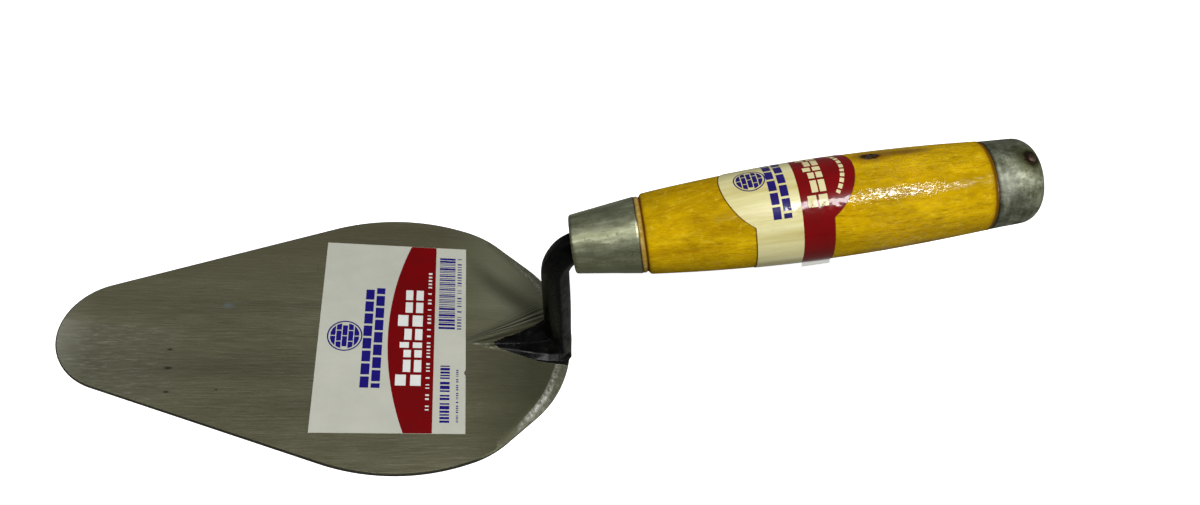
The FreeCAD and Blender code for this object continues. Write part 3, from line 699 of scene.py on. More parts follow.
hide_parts("forged_blade")
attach(forging, "root")

# ---------------------------------------------------------------------------
# Front ferrule: a spun aluminium cone, rolled in at its mouth and pressed on
# the grip's nose so that the wood can't split where the tang goes in.
# ---------------------------------------------------------------------------
FERRULE_LENGTH, FERRULE_FRONT, FERRULE_SLOPE, MOUTH = 21.6, 9.55, 0.138, 7.8
FERRULE_ROUNDS = 160


def divided(profile, step):
    """A turned profile with its long runs cut into short ones."""
    fine = [profile[0]]
    for (s0, r0), (s1, r1) in zip(profile, profile[1:]):
        cuts = max(1, int(math.hypot(s1 - s0, r1 - r0) / step))
        fine += [(s0 + (s1 - s0) * k / cuts, r0 + (r1 - r0) * k / cuts) for k in range(1, cuts + 1)]
    return fine


def seat_on_grip_line(shape):
    """Moves a shape made about its own X axis onto the grip's line."""
    tilt = Euler((0.0, -GRIP_RISE, 0.0)).to_matrix().to_4x4()
    bmesh.ops.transform(shape, matrix=Matrix.Translation(GRIP_START * MM) @ tilt,
                        verts=shape.verts[:])


def grip_places(finish):
    """Places measured along the grip's line from its start, then across it."""
    return node(finish, "Mapping", vector_type="TEXTURE", in_Vector=places(finish),
                in_Location=GRIP_START * MM, in_Rotation=(0.0, -GRIP_RISE, 0.0)).outputs[0]


def turn_on_lathe(name, profile, closed, worn, rounds, keep_edges):
    """A turned piece about the grip's line; worn(s, angle, r) moves its skin."""
    shape = bmesh.new()
    rings = []
    for s, r in profile:
        if r < 1e-6:
            rings.append([shape.verts.new((s * MM, 0.0, 0.0))])
            continue
        ring = []
        for j in range(rounds):
            angle = 2 * math.pi * j / rounds
            radius = r + worn(s, math.degrees(angle), r)
            ring.append(shape.verts.new((s * MM, radius * MM * math.sin(angle),
                                         radius * MM * math.cos(angle))))
        rings.append(ring)
    pairs = list(zip(rings, rings[1:]))
    if closed:
        pairs.append((rings[-1], rings[0]))
    for ring, following in pairs:
        if len(ring) == len(following) == 1:
            continue
        for j in range(rounds):
            m = (j + 1) % rounds
            if len(ring) == 1:
                shape.faces.new((ring[0], following[m], following[j]))
            elif len(following) == 1:
                shape.faces.new((ring[j], ring[m], following[0]))
            else:
                shape.faces.new((ring[j], ring[m], following[m], following[j]))
    seat_on_grip_line(shape)
    return piece_from(name, shape, keep_edges)


def waves_on(s, angle, along, about, shift=0.0):
    """Waves of wear, from -1 to 1; along and about say how close they come."""
    turn = math.radians(angle)
    return noise.noise(Vector((s * along, about * math.sin(turn), about * math.cos(turn) + shift)))


def dent(s, angle, at_s, at_angle, radius, width, depth):
    """How deep a dent is at a place on a round piece."""
    turn = (angle - at_angle + 180.0) % 360.0 - 180.0
    away = math.hypot(s - at_s, math.radians(turn) * radius)
    return -depth * math.exp(-(away / width) ** 2)


def ferrule_wear(s, angle, r):
    """Shallow waves and two dents, on the outer skin only."""
    if r < MOUTH + 0.5 or r < FERRULE_FRONT + s * FERRULE_SLOPE - 0.5:
        return 0.0
    return (min(waves_on(s, angle, 0.16, 1.7) * 0.07, 0.0)
            + dent(s, angle, 14.9, -28.6, 12.0, 0.7, 0.07)
            + dent(s, angle, 19.2, -6.0, 12.0, 0.7, 0.05))


ferrule_outline = [(0.95, MOUTH), (0.25, MOUTH), (0.0, 8.0), (0.0, 8.75), (0.10, 9.15), (0.35, 9.5),
                   (0.8, 9.68), (1.5, 9.78), (21.3, 12.50), (FERRULE_LENGTH, 12.42),
                   (FERRULE_LENGTH, 11.65), (1.8, 8.86), (0.95, 8.7)]
ferrule = turn_on_lathe("front_ferrule_shell", divided(ferrule_outline, 0.55), True, ferrule_wear,
                        FERRULE_ROUNDS, 35.0)

# spun and cloudy aluminium: painted shade underneath, dirt in the mouth's rim, dirt and painted shade on
# the rear rim, one dark dent
ferrule_finish, ferrule_shader = start_finish("satin_aluminium", (0.5, 0.5, 0.42), 0.4, 1.0)
place = grip_places(ferrule_finish)
station, _, above = axes(ferrule_finish, place)
spun = marks(ferrule_finish, place, (70.0, 520.0, 520.0), 5.0, 0.7)
cloudy = marks(ferrule_finish, place, (130.0, 260.0, 260.0), 6.0, 0.75)
grit = marks(ferrule_finish, place, (1400.0, 1400.0, 1400.0), 2.0, 0.5)
shade = steps(ferrule_finish, spun, (0.30, (0.29, 0.308, 0.178)), (0.5, (0.40, 0.418, 0.268)),
              (0.70, (0.60, 0.62, 0.44)))
shade = toned(ferrule_finish, shade, cloudy, (0.3, 0.80), (0.72, 1.16))
# painted shade: the ferrule darker towards its underside
underside_shade = reach(ferrule_finish, above, 0.007, -0.004, 0.0, 0.85)
shade = over(ferrule_finish, underside_shade, shade, (0.15, 0.165, 0.080))
dirty_mouth = reach(ferrule_finish, station, 0.0013, 0.0006, 0.0, 0.45)
# dirt and painted shade: the rounded rear rim darkened where it would catch the light
rear_rim_dirt_and_shade = reach(ferrule_finish, station, (FERRULE_LENGTH - 0.5) * MM, (FERRULE_LENGTH - 0.2) * MM,
                   0.0, 0.75)
shade = over(ferrule_finish, sums(ferrule_finish, "MAXIMUM", dirty_mouth, rear_rim_dirt_and_shade), shade,
             (0.050, 0.030, 0.016))
shade = over(ferrule_finish, reach(ferrule_finish, grit, 0.60, 0.72, 0.0, 0.55), shade,
             (0.10, 0.10, 0.07))
from_dent = spot(ferrule_finish, place, (0.0149, -0.00575, 0.01055))
shade = over(ferrule_finish, reach(ferrule_finish, from_dent, 0.0003, 0.0008, 0.7, 0.0), shade,
             (0.05, 0.05, 0.035))
join(ferrule_finish, shade, ferrule_shader.inputs["Base Color"])
join(ferrule_finish, reach(ferrule_finish, cloudy, 0.3, 0.7, 0.33, 0.43),
     ferrule_shader.inputs["Roughness"])
raise_marks(ferrule_finish, ferrule_shader, plus(ferrule_finish, spun, grit, 0.25), 0.00009)
show(ferrule, ferrule_finish)
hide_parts("front_ferrule")
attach(ferrule, "root")

# ---------------------------------------------------------------------------
# Grip: one piece of hardwood turned to a barrel, with a scribed groove behind
# a narrow collar, dipped in amber varnish. The tang is driven into its bore.
# ---------------------------------------------------------------------------
SEAM, GROOVE, COLLAR_END = 132.2, 23.15, 24.05
BARREL_MIDDLE, BARREL_RADIUS, BARREL_CURVE = 84.7, 16.26, 1180.0
BARREL_START, BARREL_STEP, BARREL_RINGS = 24.4, 0.8, 135
GRIP_ROUNDS = 176


def grip_radius(s):
    """The barrel's radius at a station along the grip."""
    return BARREL_RADIUS - (s - BARREL_MIDDLE) ** 2 / BARREL_CURVE


barrel = [(s, grip_radius(s)) for s in (BARREL_START + BARREL_STEP * k for k in range(BARREL_RINGS))]
tang_bore = [(9.4, 0.0), (9.4, 7.8), (1.1, 7.8)]
grip_nose = [(1.3, 8.55), (1.9, 8.8), (21.55, 11.6), (21.62, 12.2)]
collar = [(21.8, 12.36), (22.55, 12.45), (22.85, 12.2), (GROOVE, 12.05), (23.45, 12.25),
          (23.75, 12.75), (COLLAR_END, 13.02)]
grip_rear = [(SEAM - 0.25, 14.34), (SEAM - 0.02, 14.2), (SEAM, 13.45), (140.0, 12.95), (145.5, 10.0),
             (147.0, 7.0), (147.0, 0.0)]
grip_outline = tang_bore + grip_nose + collar + barrel + grip_rear


def grip_wear(s, angle, r):
    """Slow waves and two dents in the barrel."""
    if s < COLLAR_END - 0.05 or s > SEAM - 0.3:
        return 0.0
    return (min(waves_on(s, angle, 0.045, 1.3, 4.0), 0.0) * 0.16
            + dent(s, angle, 96.3, 30.4, 16.1, 1.6, 0.10)
            + dent(s, angle, 111.0, -52.0, 15.8, 1.1, 0.12))


grip = turn_on_lathe("turned_wooden_grip", grip_outline, False, grip_wear, GRIP_ROUNDS, 50.0)

# straight grained timber under amber varnish, with pores and mottled flecks
wood_finish, wood_shader = start_finish("amber_varnished_wood", (0.48, 0.28, 0.01), 0.35)
place = grip_places(wood_finish)
warp = marks(wood_finish, place, (14.0, 60.0, 60.0), 2.0, 0.5)
bent = node(wood_finish, "VectorMath", operation="MULTIPLY_ADD", in_0=warp, in_1=(0.0, 0.006, 0.006),
            in_2=place).outputs[0]
bands = marks(wood_finish, bent, (30.0, 170.0, 170.0), 8.0, 0.72)
pores = marks(wood_finish, bent, (210.0, 1500.0, 1500.0), 5.0, 0.75)
flecks = marks(wood_finish, place, (330.0, 620.0, 620.0), 6.0, 0.8)
patches = marks(wood_finish, place, (55.0, 110.0, 110.0), 5.0, 0.65)
timber = steps(wood_finish, bands, (0.28, (0.32, 0.165, 0.0006)), (0.42, (0.44, 0.258, 0.0006)),
               (0.55, (0.51, 0.315, 0.001)), (0.72, (0.62, 0.41, 0.006)))
timber = toned(wood_finish, timber, patches, (0.32, 0.66), (0.68, 1.15))
timber = over(wood_finish, reach(wood_finish, pores, 0.53, 0.66, 0.0, 0.60), timber,
              (0.20, 0.092, 0.003))
timber = over(wood_finish, reach(wood_finish, flecks, 0.56, 0.68, 0.0, 0.50), timber,
              (0.27, 0.14, 0.003))
timber = over(wood_finish, reach(wood_finish, flecks, 0.46, 0.34, 0.0, 0.5), timber,
              (0.70, 0.49, 0.03))

# rubbed collar, stained groove, and the varnish gone dark at both metal edges
along = axes(wood_finish, place)[0]
wander = sums(wood_finish, "MULTIPLY_ADD", flecks, 0.0006, -0.0003)
station = sums(wood_finish, "ADD", along, wander)
collar_tone = steps(wood_finish, flecks, (0.44, (0.26, 0.165, 0.030)), (0.60, (0.42, 0.31, 0.11)))
from_groove = sums(wood_finish, "ABSOLUTE", sums(wood_finish, "SUBTRACT", station, (GROOVE + 0.25) * MM))
timber = over(wood_finish, reach(wood_finish, station, 0.0233, 0.0229, 0.0, 0.8), timber, collar_tone)
timber = over(wood_finish, reach(wood_finish, from_groove, 0.0001, 0.0006, 0.95, 0.0), timber,
              (0.11, 0.019, 0.001))
timber = over(wood_finish, reach(wood_finish, station, 0.0220, 0.0217, 0.0, 0.5), timber,
              (0.16, 0.07, 0.012))
dark_seam = reach(wood_finish, station, (SEAM - 1.4) * MM, (SEAM - 0.7) * MM, 0.0, 0.98)
timber = over(wood_finish, dark_seam, timber, (0.008, 0.003, 0.001))
amber_seam = reach(wood_finish, station, (SEAM - 2.4) * MM, (SEAM - 0.6) * MM, 0.0, 0.5)
timber = over(wood_finish, amber_seam, timber, (0.20, 0.085, 0.003))

# a knot in the far side of the barrel, and the dark smear behind it
from_knot = spot(wood_finish, place, (0.0965, 0.0072, 0.0144), (0.60, 1.0, 1.0))
from_smear = spot(wood_finish, place, (0.1065, 0.0074, 0.0142), (0.22, 1.0, 1.0))
knot_edge = plus(wood_finish, from_knot, flecks, 0.0022)
smear_edge = plus(wood_finish, from_smear, flecks, 0.0030)
timber = over(wood_finish, reach(wood_finish, smear_edge, 0.0024, 0.0042, 0.75, 0.0), timber,
              (0.13, 0.05, 0.002))
timber = over(wood_finish, reach(wood_finish, knot_edge, 0.0030, 0.0060, 0.65, 0.0), timber,
              (0.16, 0.065, 0.002))
timber = over(wood_finish, reach(wood_finish, knot_edge, 0.0027, 0.0033, 0.96, 0.0), timber,
              (0.022, 0.007, 0.002))
join(wood_finish, timber, wood_shader.inputs["Base Color"])
join(wood_finish, reach(wood_finish, flecks, 0.35, 0.75, 0.30, 0.55), wood_shader.inputs["Roughness"])

# the varnish: broken by the grain, thickest on the rear half of the barrel
grain_height = sums(wood_finish, "MULTIPLY_ADD", pores, -0.8, plus(wood_finish, bands, flecks, 0.7))
raise_marks(wood_finish, wood_shader, grain_height, 0.00032)
gloss_marks = marks(wood_finish, place, (620.0, 1100.0, 1100.0), 5.0, 0.75, (2.0, 0.0, 3.0))
gloss = times(wood_finish, reach(wood_finish, along, 0.089, 0.096, 0.25, 1.0),
              reach(wood_finish, along, 0.104, 0.124, 1.0, 0.35),
              reach(wood_finish, gloss_marks, 0.50, 0.57, 0.08, 1.0))
join(wood_finish, gloss, wood_shader.inputs["Coat Weight"])
gloss_height = sums(wood_finish, "MULTIPLY_ADD", gloss_marks, 1.1, times(wood_finish, bands, 0.5))
raise_marks(wood_finish, wood_shader, gloss_height, 0.00006, "Coat Normal")
wood_shader.inputs["Specular IOR Level"].default_value = 0.0
wood_shader.inputs["Coat Roughness"].default_value = 0.06
wood_shader.inputs["Coat IOR"].default_value = 1.7
show(grip, wood_finish)
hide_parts("wood_handle")
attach(grip, "root")

# ---------------------------------------------------------------------------
# Butt cap: a drawn steel cup, dull and knocked about, pushed on the grip's
# rear end and held by one small nail.
# ---------------------------------------------------------------------------
CAP_SIDE, CAP_CROWN, CAP_ROUND, CAP_LENGTH = 13.7, 7.7, 6.0, 16.2
CAP_END = SEAM + CAP_LENGTH
CAP_SIDE_END = CAP_END - CAP_ROUND
CAP_WALL = 0.7


def cap_wear(s, angle, r):
    """Waves and three dents, on the cup's outer skin only."""
    if s > CAP_END - 0.8 and r < 7.0 or r < 13.0 and s < CAP_SIDE_END:
        return 0.0
    fine_waves = waves_on(s, angle, 1.085, 9.92) * 0.07
    waves = min(waves_on(s, angle, 0.35, 3.2) * 0.16 + fine_waves, 0.0)
    return (waves + dent(s, angle, 138.0, -35.0, 14.0, 1.6, 0.14)
            + dent(s, angle, 144.0, -44.0, 13.0, 1.8, 0.22)
            + dent(s, angle, 143.2, -12.0, 13.4, 1.5, 0.12))


shoulder = []
for k in range(1, 15):
    part = math.radians(90.0 * k / 15)
    shoulder.append((CAP_SIDE_END + CAP_ROUND * math.sin(part),
                     CAP_CROWN + (CAP_SIDE - CAP_CROWN) * math.cos(part)))
cap_lip = [(SEAM + 0.05, 13.52), (SEAM + 0.05, 14.0), (SEAM + 0.15, 14.16), (SEAM + 0.45, 14.19),
           (CAP_SIDE_END, CAP_SIDE)]
cap_crown = [(CAP_END - 0.01, CAP_CROWN), (CAP_END, 6.4), (CAP_END, 0.0)]
cap_inside = [(CAP_END - CAP_WALL, 0.0), (CAP_END - CAP_WALL, 7.4), (145.6, 10.3),
              (CAP_SIDE_END, CAP_SIDE - CAP_WALL)]
cap_profile = divided(cap_lip + shoulder + cap_crown, 0.5) + cap_inside
cap = turn_on_lathe("butt_cap_shell", cap_profile, True, cap_wear, GRIP_ROUNDS, 40.0)

# drawn steel: blotted and banded, one bare patch, rust about the nail
cap_finish, cap_shader = start_finish("dull_cap_steel", (0.4, 0.4, 0.34), 0.42, 1.0)
place = grip_places(cap_finish)
cap_clouds = marks(cap_finish, place, (180.0, 230.0, 230.0), 6.0, 0.75)
cap_blots = marks(cap_finish, place, (240.0, 330.0, 330.0), 5.0, 0.75, (0.3, 1.1, 2.4))
cap_draw = marks(cap_finish, place, (420.0, 60.0, 60.0), 4.0, 0.6)
shade = steps(cap_finish, cap_clouds, (0.36, (0.085, 0.092, 0.055)), (0.5, (0.18, 0.19, 0.130)),
              (0.63, (0.30, 0.31, 0.235)))
shade = over(cap_finish, reach(cap_finish, cap_blots, 0.56, 0.70, 0.0, 0.6), shade,
             (0.10, 0.10, 0.065))
shade = toned(cap_finish, shade, cap_draw, (0.36, 0.66), (0.62, 1.12))
from_bare = plus(cap_finish, spot(cap_finish, place, (0.1345, -0.0078, 0.0117), (0.55, 0.8, 0.8)),
                 cap_blots, 0.0035)
shade = over(cap_finish, reach(cap_finish, from_bare, 0.0022, 0.0062, 0.3, 0.0), shade,
             (0.50, 0.51, 0.44))
from_rust = plus(cap_finish, spot(cap_finish, place, (0.1443, -0.0015, 0.0133)), cap_blots, 0.003)
shade = over(cap_finish, reach(cap_finish, from_rust, 0.0045, 0.0090, 0.75, 0.0), shade,
             (0.060, 0.062, 0.020))
shade = over(cap_finish, reach(cap_finish, from_rust, 0.0036, 0.0050, 0.97, 0.0), shade,
             (0.016, 0.010, 0.005))
dark_lip = reach(cap_finish, axes(cap_finish, place)[0], (SEAM + 1.1) * MM, (SEAM + 0.3) * MM, 0.0, 0.8)
shade = over(cap_finish, dark_lip, shade, (0.022, 0.018, 0.010))
join(cap_finish, shade, cap_shader.inputs["Base Color"])
join(cap_finish, reach(cap_finish, cap_clouds, 0.3, 0.7, 0.72, 0.56), cap_shader.inputs["Roughness"])
raise_marks(cap_finish, cap_shader, sums(cap_finish, "ADD", cap_clouds, cap_blots), 0.00022)
show(cap, cap_finish)
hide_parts("butt_cap")
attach(cap, "root")

# ---------------------------------------------------------------------------
# Cap nail: one small steel brad through the cap's rounded edge into the wood,
# rusted brown. It keeps its own shape and only gets its finish here.
# ---------------------------------------------------------------------------
nail_finish, nail_shader = start_finish("rusted_nail_steel", (0.09, 0.05, 0.03), 0.55, 0.8)
nail_rust = marks(nail_finish, grip_places(nail_finish), (900.0, 900.0, 900.0), 5.0, 0.7)
join(nail_finish, steps(nail_finish, nail_rust, (0.35, (0.035, 0.02, 0.012)),
                        (0.6, (0.05, 0.032, 0.022)), (0.8, (0.20, 0.19, 0.16))),
     nail_shader.inputs["Base Color"])
raise_marks(nail_finish, nail_shader, nail_rust, 0.0001)
show(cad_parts["cap_nail"], nail_finish)

# ---------------------------------------------------------------------------
# Blade label: a sheet of coated paper glued on the blade, printed in red and
# blue. Its marks are plain ones: a badge of bricks, brick courses and bars.
# ---------------------------------------------------------------------------
LABEL_HALF_P, LABEL_HALF_Q, LABEL_THICK = 26.25, 39.0, 0.15
LABEL_X, LABEL_Y, LABEL_TURN = -60.1, 1.3, math.radians(-1.4)
INK, INK_ROOT = 0.012, 0.02
NICK_PLACE, NICK_HALF, NICK_DEPTH = -15.2, 0.75, 0.55
RED_LEFT_MIDDLE, RED_LEFT_RADIUS, RED_RIGHT = -1.95, 112.0, 14.75
COURSES, BRICK_SHARE, JOINT_SHARE = 5, 0.72, 0.055

# places of the marks on the sheet: the badge by its middle and radius, courses
# and dashes from p to p and from q to q, each block by its front edge and its
# two sides; a line of dashes ends with its dash, its gap and its seed
BADGE_AT = (-17.1, -1.5, 6.2)
BLUE_COURSES = (-10.7, -3.8, -22.0, 19.3)
WHITE_FOOT = 9.8
WHITE_BLOCKS = [(0.4, -20.9, -16.6), (2.9, -15.5, -10.6), (2.9, -9.6, -6.6), (1.4, -5.7, -3.4),
                (2.9, -2.4, 2.2), (0.4, 3.3, 8.0), (2.9, 9.1, 13.6), (2.9, 14.6, 18.9)]
WHITE_DASHES = (12.1, 13.4, -30.3, 27.7, 0.55, 0.85, 3)
BARS_FRONT, BARS_REAR, BARS_START, BARS_END = 16.2, 22.2, 2.6, 34.2
BLUE_DASHES = [(23.0, 24.6, 2.6, 34.4, 0.42, 0.75, 5), (17.2, 20.6, -34.9, -12.6, 0.95, 0.45, 7),
               (22.9, 23.7, -34.7, -13.5, 0.35, 0.38, 9)]


def lay(shape, put, outline, across, along, ink, low, high):
    """A thin closed layer; outline(u, v) gives its place on the sheet."""
    tops, floors = [], []
    for i in range(across + 1):
        spots = [outline(i / across, j / along) for j in range(along + 1)]
        tops.append([shape.verts.new(put(p, q, high)) for p, q in spots])
        floors.append([shape.verts.new(put(p, q, low)) for p, q in spots])
    made = []
    for i in range(across):
        for j in range(along):
            made.append(shape.faces.new((tops[i][j], tops[i + 1][j], tops[i + 1][j + 1],
                                         tops[i][j + 1])))
            made.append(shape.faces.new((floors[i][j], floors[i][j + 1], floors[i + 1][j + 1],
                                         floors[i + 1][j])))
    for i in range(across):
        for end in (0, along):
            made.append(shape.faces.new((tops[i][end], floors[i][end], floors[i + 1][end],
                                         tops[i + 1][end])))
    for j in range(along):
        for end in (0, across):
            made.append(shape.faces.new((tops[end][j], tops[end][j + 1], floors[end][j + 1],
                                         floors[end][j])))
    for face in made:
        face.material_index = ink
    corners = [vert for row in tops + floors for vert in row]
    bmesh.ops.remove_doubles(shape, verts=corners, dist=1e-7)


def box_mark(p0, p1, q0, q1):
    """A plain block, from p0 to p1 and q0 to q1 on the sheet."""
    return lambda u, v: (p0 + (p1 - p0) * u, q0 + (q1 - q0) * v)


def ring_mark(p, q, inner, outer):
    """A ring about the place (p, q)."""
    return lambda u, v: (p + (inner + (outer - inner) * u) * math.cos(2 * math.pi * v),
                         q + (inner + (outer - inner) * u) * math.sin(2 * math.pi * v))


def badge_marks(p, q, radius):
    """A round badge: a thin ring round a disc of brickwork."""
    made = [(ring_mark(p, q, radius * 0.92, radius), 1, 40)]
    inside = radius * 0.84
    course, brick, joint = inside * 2 / COURSES, radius * BRICK_SHARE, radius * JOINT_SHARE
    for row in range(COURSES):
        low = -inside + course * row + joint / 2
        high = low + course - joint
        left = -inside - brick * (0.3 if row % 2 else 0.8)
        while left < inside:

            def cut_brick(u, v, low=low, high=high, left=left):
                across = low + (high - low) * u
                round_edge = math.sqrt(max(inside ** 2 - across ** 2, 0.0))
                q0 = min(max(left, -round_edge), round_edge)
                q1 = max(min(left + brick - joint, round_edge), -round_edge)
                return p + across, q + q0 + (q1 - q0) * v

            if left + brick > -inside * 0.8 and left < inside * 0.8:
                made.append((cut_brick, 4, 5))
            left += brick
    return made


def course_marks(p0, p1, q0, q1, count, gap):
    """Two courses of bricks, laid in half bond, along the sheet."""
    made = []
    middle = (p0 + p1) / 2
    length = (q1 - q0) / count
    for low, high, shift in ((p0, middle - gap / 2, 0.0), (middle + gap / 2, p1, 0.5)):
        for k in range(count + 1):
            left = max(q0, q0 + (k - shift) * length)
            right = min(q1, q0 + (k + 1 - shift) * length - gap)
            if right - left > gap:
                made.append((box_mark(low, high, left, right), 1, 3))
    return made


def halves(top, foot):
    """A block's two bricks, one above the other, with a joint between."""
    depth = foot - top
    return (top, top + depth * 0.44), (top + depth * 0.56, foot)


def dash_marks(p0, p1, q0, q1, dash, gap, seed):
    """A line of short dashes of uneven length."""
    made = []
    draw = random.Random(seed)
    q = q0
    while q < q1 - 0.3:
        length = min(dash * draw.uniform(0.6, 1.5), q1 - q)
        made.append((box_mark(p0, p1, q, q + length), 1, 2))
        q += length + gap * draw.choice((1.0, 1.0, 1.0, 2.6))
    return made


def on_blade(p, q, h):
    """A place on the paper, h above the steel, in the tool's own frame."""
    x = LABEL_X + p * math.cos(LABEL_TURN) - q * math.sin(LABEL_TURN)
    y = LABEL_Y + p * math.sin(LABEL_TURN) + q * math.cos(LABEL_TURN)
    return Vector((x, y, blade_top(x) + h)) * MM


def paper_edge(u, v):
    """The sheet's outline, with a small torn nick in its rear edge."""
    p, q = -LABEL_HALF_P + 2 * LABEL_HALF_P * u, -LABEL_HALF_Q + 2 * LABEL_HALF_Q * v
    if u > 0.999 and abs(q - NICK_PLACE) < NICK_HALF:
        p -= NICK_DEPTH
    return p, q


def red_panel(u, v):
    """The red field: its front edge is a wide arc, its rear edge straight."""
    q = (-LABEL_HALF_Q + 2 * LABEL_HALF_Q * v) * 0.9985
    left = RED_LEFT_MIDDLE + RED_LEFT_RADIUS - math.sqrt(RED_LEFT_RADIUS ** 2 - (q + 0.5) ** 2)
    return left + (RED_RIGHT - left) * u, q


def print_on_label(mark, across, along, ink):
    """One printed mark, rooted in the paper; white lies over the red field."""
    if ink == WHITE:
        lay(label_shape, on_blade, mark, across, along, ink, LABEL_THICK, LABEL_THICK + 2 * INK)
    else:
        lay(label_shape, on_blade, mark, across, along, ink, LABEL_THICK - INK_ROOT, LABEL_THICK + INK)


PAPER, RED, BLUE, WHITE = range(4)
label_shape = bmesh.new()
lay(label_shape, on_blade, paper_edge, 36, 104, PAPER, 0.0, LABEL_THICK)
print_on_label(red_panel, 10, 52, RED)
for mark, across, along in badge_marks(*BADGE_AT) + course_marks(*BLUE_COURSES, 8, 0.8):
    print_on_label(mark, across, along, BLUE)
for top, q0, q1 in WHITE_BLOCKS:
    for low, high in halves(top, WHITE_FOOT):
        print_on_label(box_mark(low + 1.0, high + 0.6, q0, q1), 1, 3, WHITE)
for mark, across, along in dash_marks(*WHITE_DASHES):
    print_on_label(mark, across, along, WHITE)
bar_widths = random.Random(11)
bar_q = BARS_START
while bar_q < BARS_END:
    bar_width = bar_widths.choice((0.32, 0.32, 0.6, 0.9))
    print_on_label(box_mark(BARS_FRONT, BARS_REAR, bar_q, bar_q + bar_width), 1, 1, BLUE)
    bar_q += bar_width + bar_widths.choice((0.32, 0.32, 0.6))
for line in BLUE_DASHES:
    for mark, across, along in dash_marks(*line):
        print_on_label(mark, across, along, BLUE)
blade_label = piece_from("blade_paper_label", label_shape, 30.0)


def printed(name, colour, sheen, fibre, spread=0.10, coat=0.0):
    """A printed paper or film finish, slightly uneven in tone and gloss."""
    finish, shader = start_finish(name, colour, sheen)
    place = places(finish)
    tone = marks(finish, place, (120.0, 160.0, 120.0), 4.0, 0.6)
    specks = marks(finish, place, (2600.0, 2600.0, 2600.0), 2.0, 0.5)
    dark = tuple(part * (1.0 - spread) for part in colour)
    light = tuple(min(part * (1.0 + spread), 1.0) for part in colour)
    mottled = steps(finish, tone, (0.3, dark), (0.7, light))
    scuffs = marks(finish, place, (240.0, 240.0, 240.0), 6.0, 0.8, (5.0, 2.0, 0.0))
    scuffed = tuple(part * 0.6 + 0.05 for part in colour)
    join(finish, over(finish, reach(finish, scuffs, 0.68, 0.76, 0.0, 0.35), mottled, scuffed),
         shader.inputs["Base Color"])
    join(finish, reach(finish, tone, 0.3, 0.7, sheen + 0.08, sheen - 0.08),
         shader.inputs["Roughness"])
    shader.inputs["Specular IOR Level"].default_value = 0.06
    shader.inputs["Coat Weight"].default_value = coat
    shader.inputs["Coat Roughness"].default_value = 0.10
    raise_marks(finish, shader, specks, fibre)
    return finish


show(blade_label, printed("label_paper", (0.365, 0.37, 0.317), 0.5, 0.00003, 0.04),
     printed("label_red", (0.118, 0.0008, 0.0018), 0.42, 0.00003),
     printed("label_blue", (0.008, 0.005, 0.115), 0.45, 0.00003),
     printed("label_white", (0.52, 0.53, 0.51), 0.5, 0.00003, 0.05))
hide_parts("blade_label")
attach(blade_label, "root")

# ---------------------------------------------------------------------------
# Grip label: a glossy film band round the wood with a round patch on top,
# cream in front and red behind. It is crumpled on one side and its loose end
# hangs off below.
# ---------------------------------------------------------------------------
BAND_MIDDLE, BAND_HALF, PATCH_RADIUS, BAND_ROLL, RED_LINE = 69.3, 11.9, 20.8, 15.0, 71.7
PATCH_REACH = math.sqrt(PATCH_RADIUS ** 2 - BAND_HALF ** 2)
FILM, FILM_GAP, EDGE_LINE_HEIGHT = 0.13, 0.02, 0.05
ROLL_RADIUS = 16.1
HALF_ROUND = math.pi * ROLL_RADIUS
BAND_STEPS = 300

# places of the marks on the film, along the grip first and then round it; the
# loose end's dashes are placed down that end first and then along the grip
FILM_BADGE = (57.9, 0.0, 5.0)
FILM_COURSES = (62.9, 68.6, -15.4, 17.0)
PALE_FOOT = 80.0
PALE_BLOCKS = [(73.9, -13.2, -9.6), (75.6, -8.7, -4.6), (75.6, -3.8, -1.4), (74.6, -0.7, 1.2),
               (75.6, 2.0, 5.6), (73.9, 6.5, 10.2), (75.6, 11.1, 14.8)]
CURVE_START, CURVE_END, CURVE_GAP = -0.62, 0.72, 0.035
CURVE_RADIUS, CURVE_DEPTH = 16.4, 1.3
LOOSE_FRONT, LOOSE_REAR, LOOSE_SIDE, LOOSE_TOP, LOOSE_DROP = 72.1, 81.1, -12.0, -10.85, 1.8
LOOSE_DASHES = (0.45, 0.90, 72.9, 80.4, 0.7, 0.4, 31)


def film_half(a):
    """Half the film's width, a millimetres round the grip from its middle."""
    if abs(a) >= PATCH_REACH:
        return BAND_HALF
    return math.sqrt(PATCH_RADIUS ** 2 - a * a)


def crumple(s, degrees):
    """Small folds where the film was pressed on badly."""
    here = math.exp(-((degrees + 33.0) / 9.0) ** 2) * math.exp(-((s - 77.0) / 11.0) ** 4)
    there = math.exp(-((degrees + 50.0) / 6.0) ** 2) * math.exp(-((s - 61.0) / 5.0) ** 2)
    folds = noise.noise(Vector((s * 0.55, degrees * 0.16, 1.0)))
    folds += 0.6 * noise.noise(Vector((s * 1.3 + degrees * 0.3, degrees * 0.35, 5.0)))
    return max(folds, -0.1) * (0.13 * here + 0.16 * there)


def on_grip(s, a, h):
    """A place on the film; a is measured round the grip from the roll."""
    degrees = BAND_ROLL + math.degrees(a / ROLL_RADIUS)
    radius = grip_radius(s) + FILM_GAP + h + crumple(s, degrees)
    angle = math.radians(degrees)
    return Vector((s, radius * math.sin(angle), radius * math.cos(angle))) * MM


def cream_part(u, v):
    """The front of the film, from its edge back to the line of the red."""
    a = -HALF_ROUND + 2 * HALF_ROUND * v
    front = BAND_MIDDLE - film_half(a)
    return front + (RED_LINE - front) * u, a


def red_part(u, v):
    """The red rear of the film."""
    a = -HALF_ROUND + 2 * HALF_ROUND * v
    return RED_LINE + (BAND_MIDDLE + film_half(a) - RED_LINE) * u, a


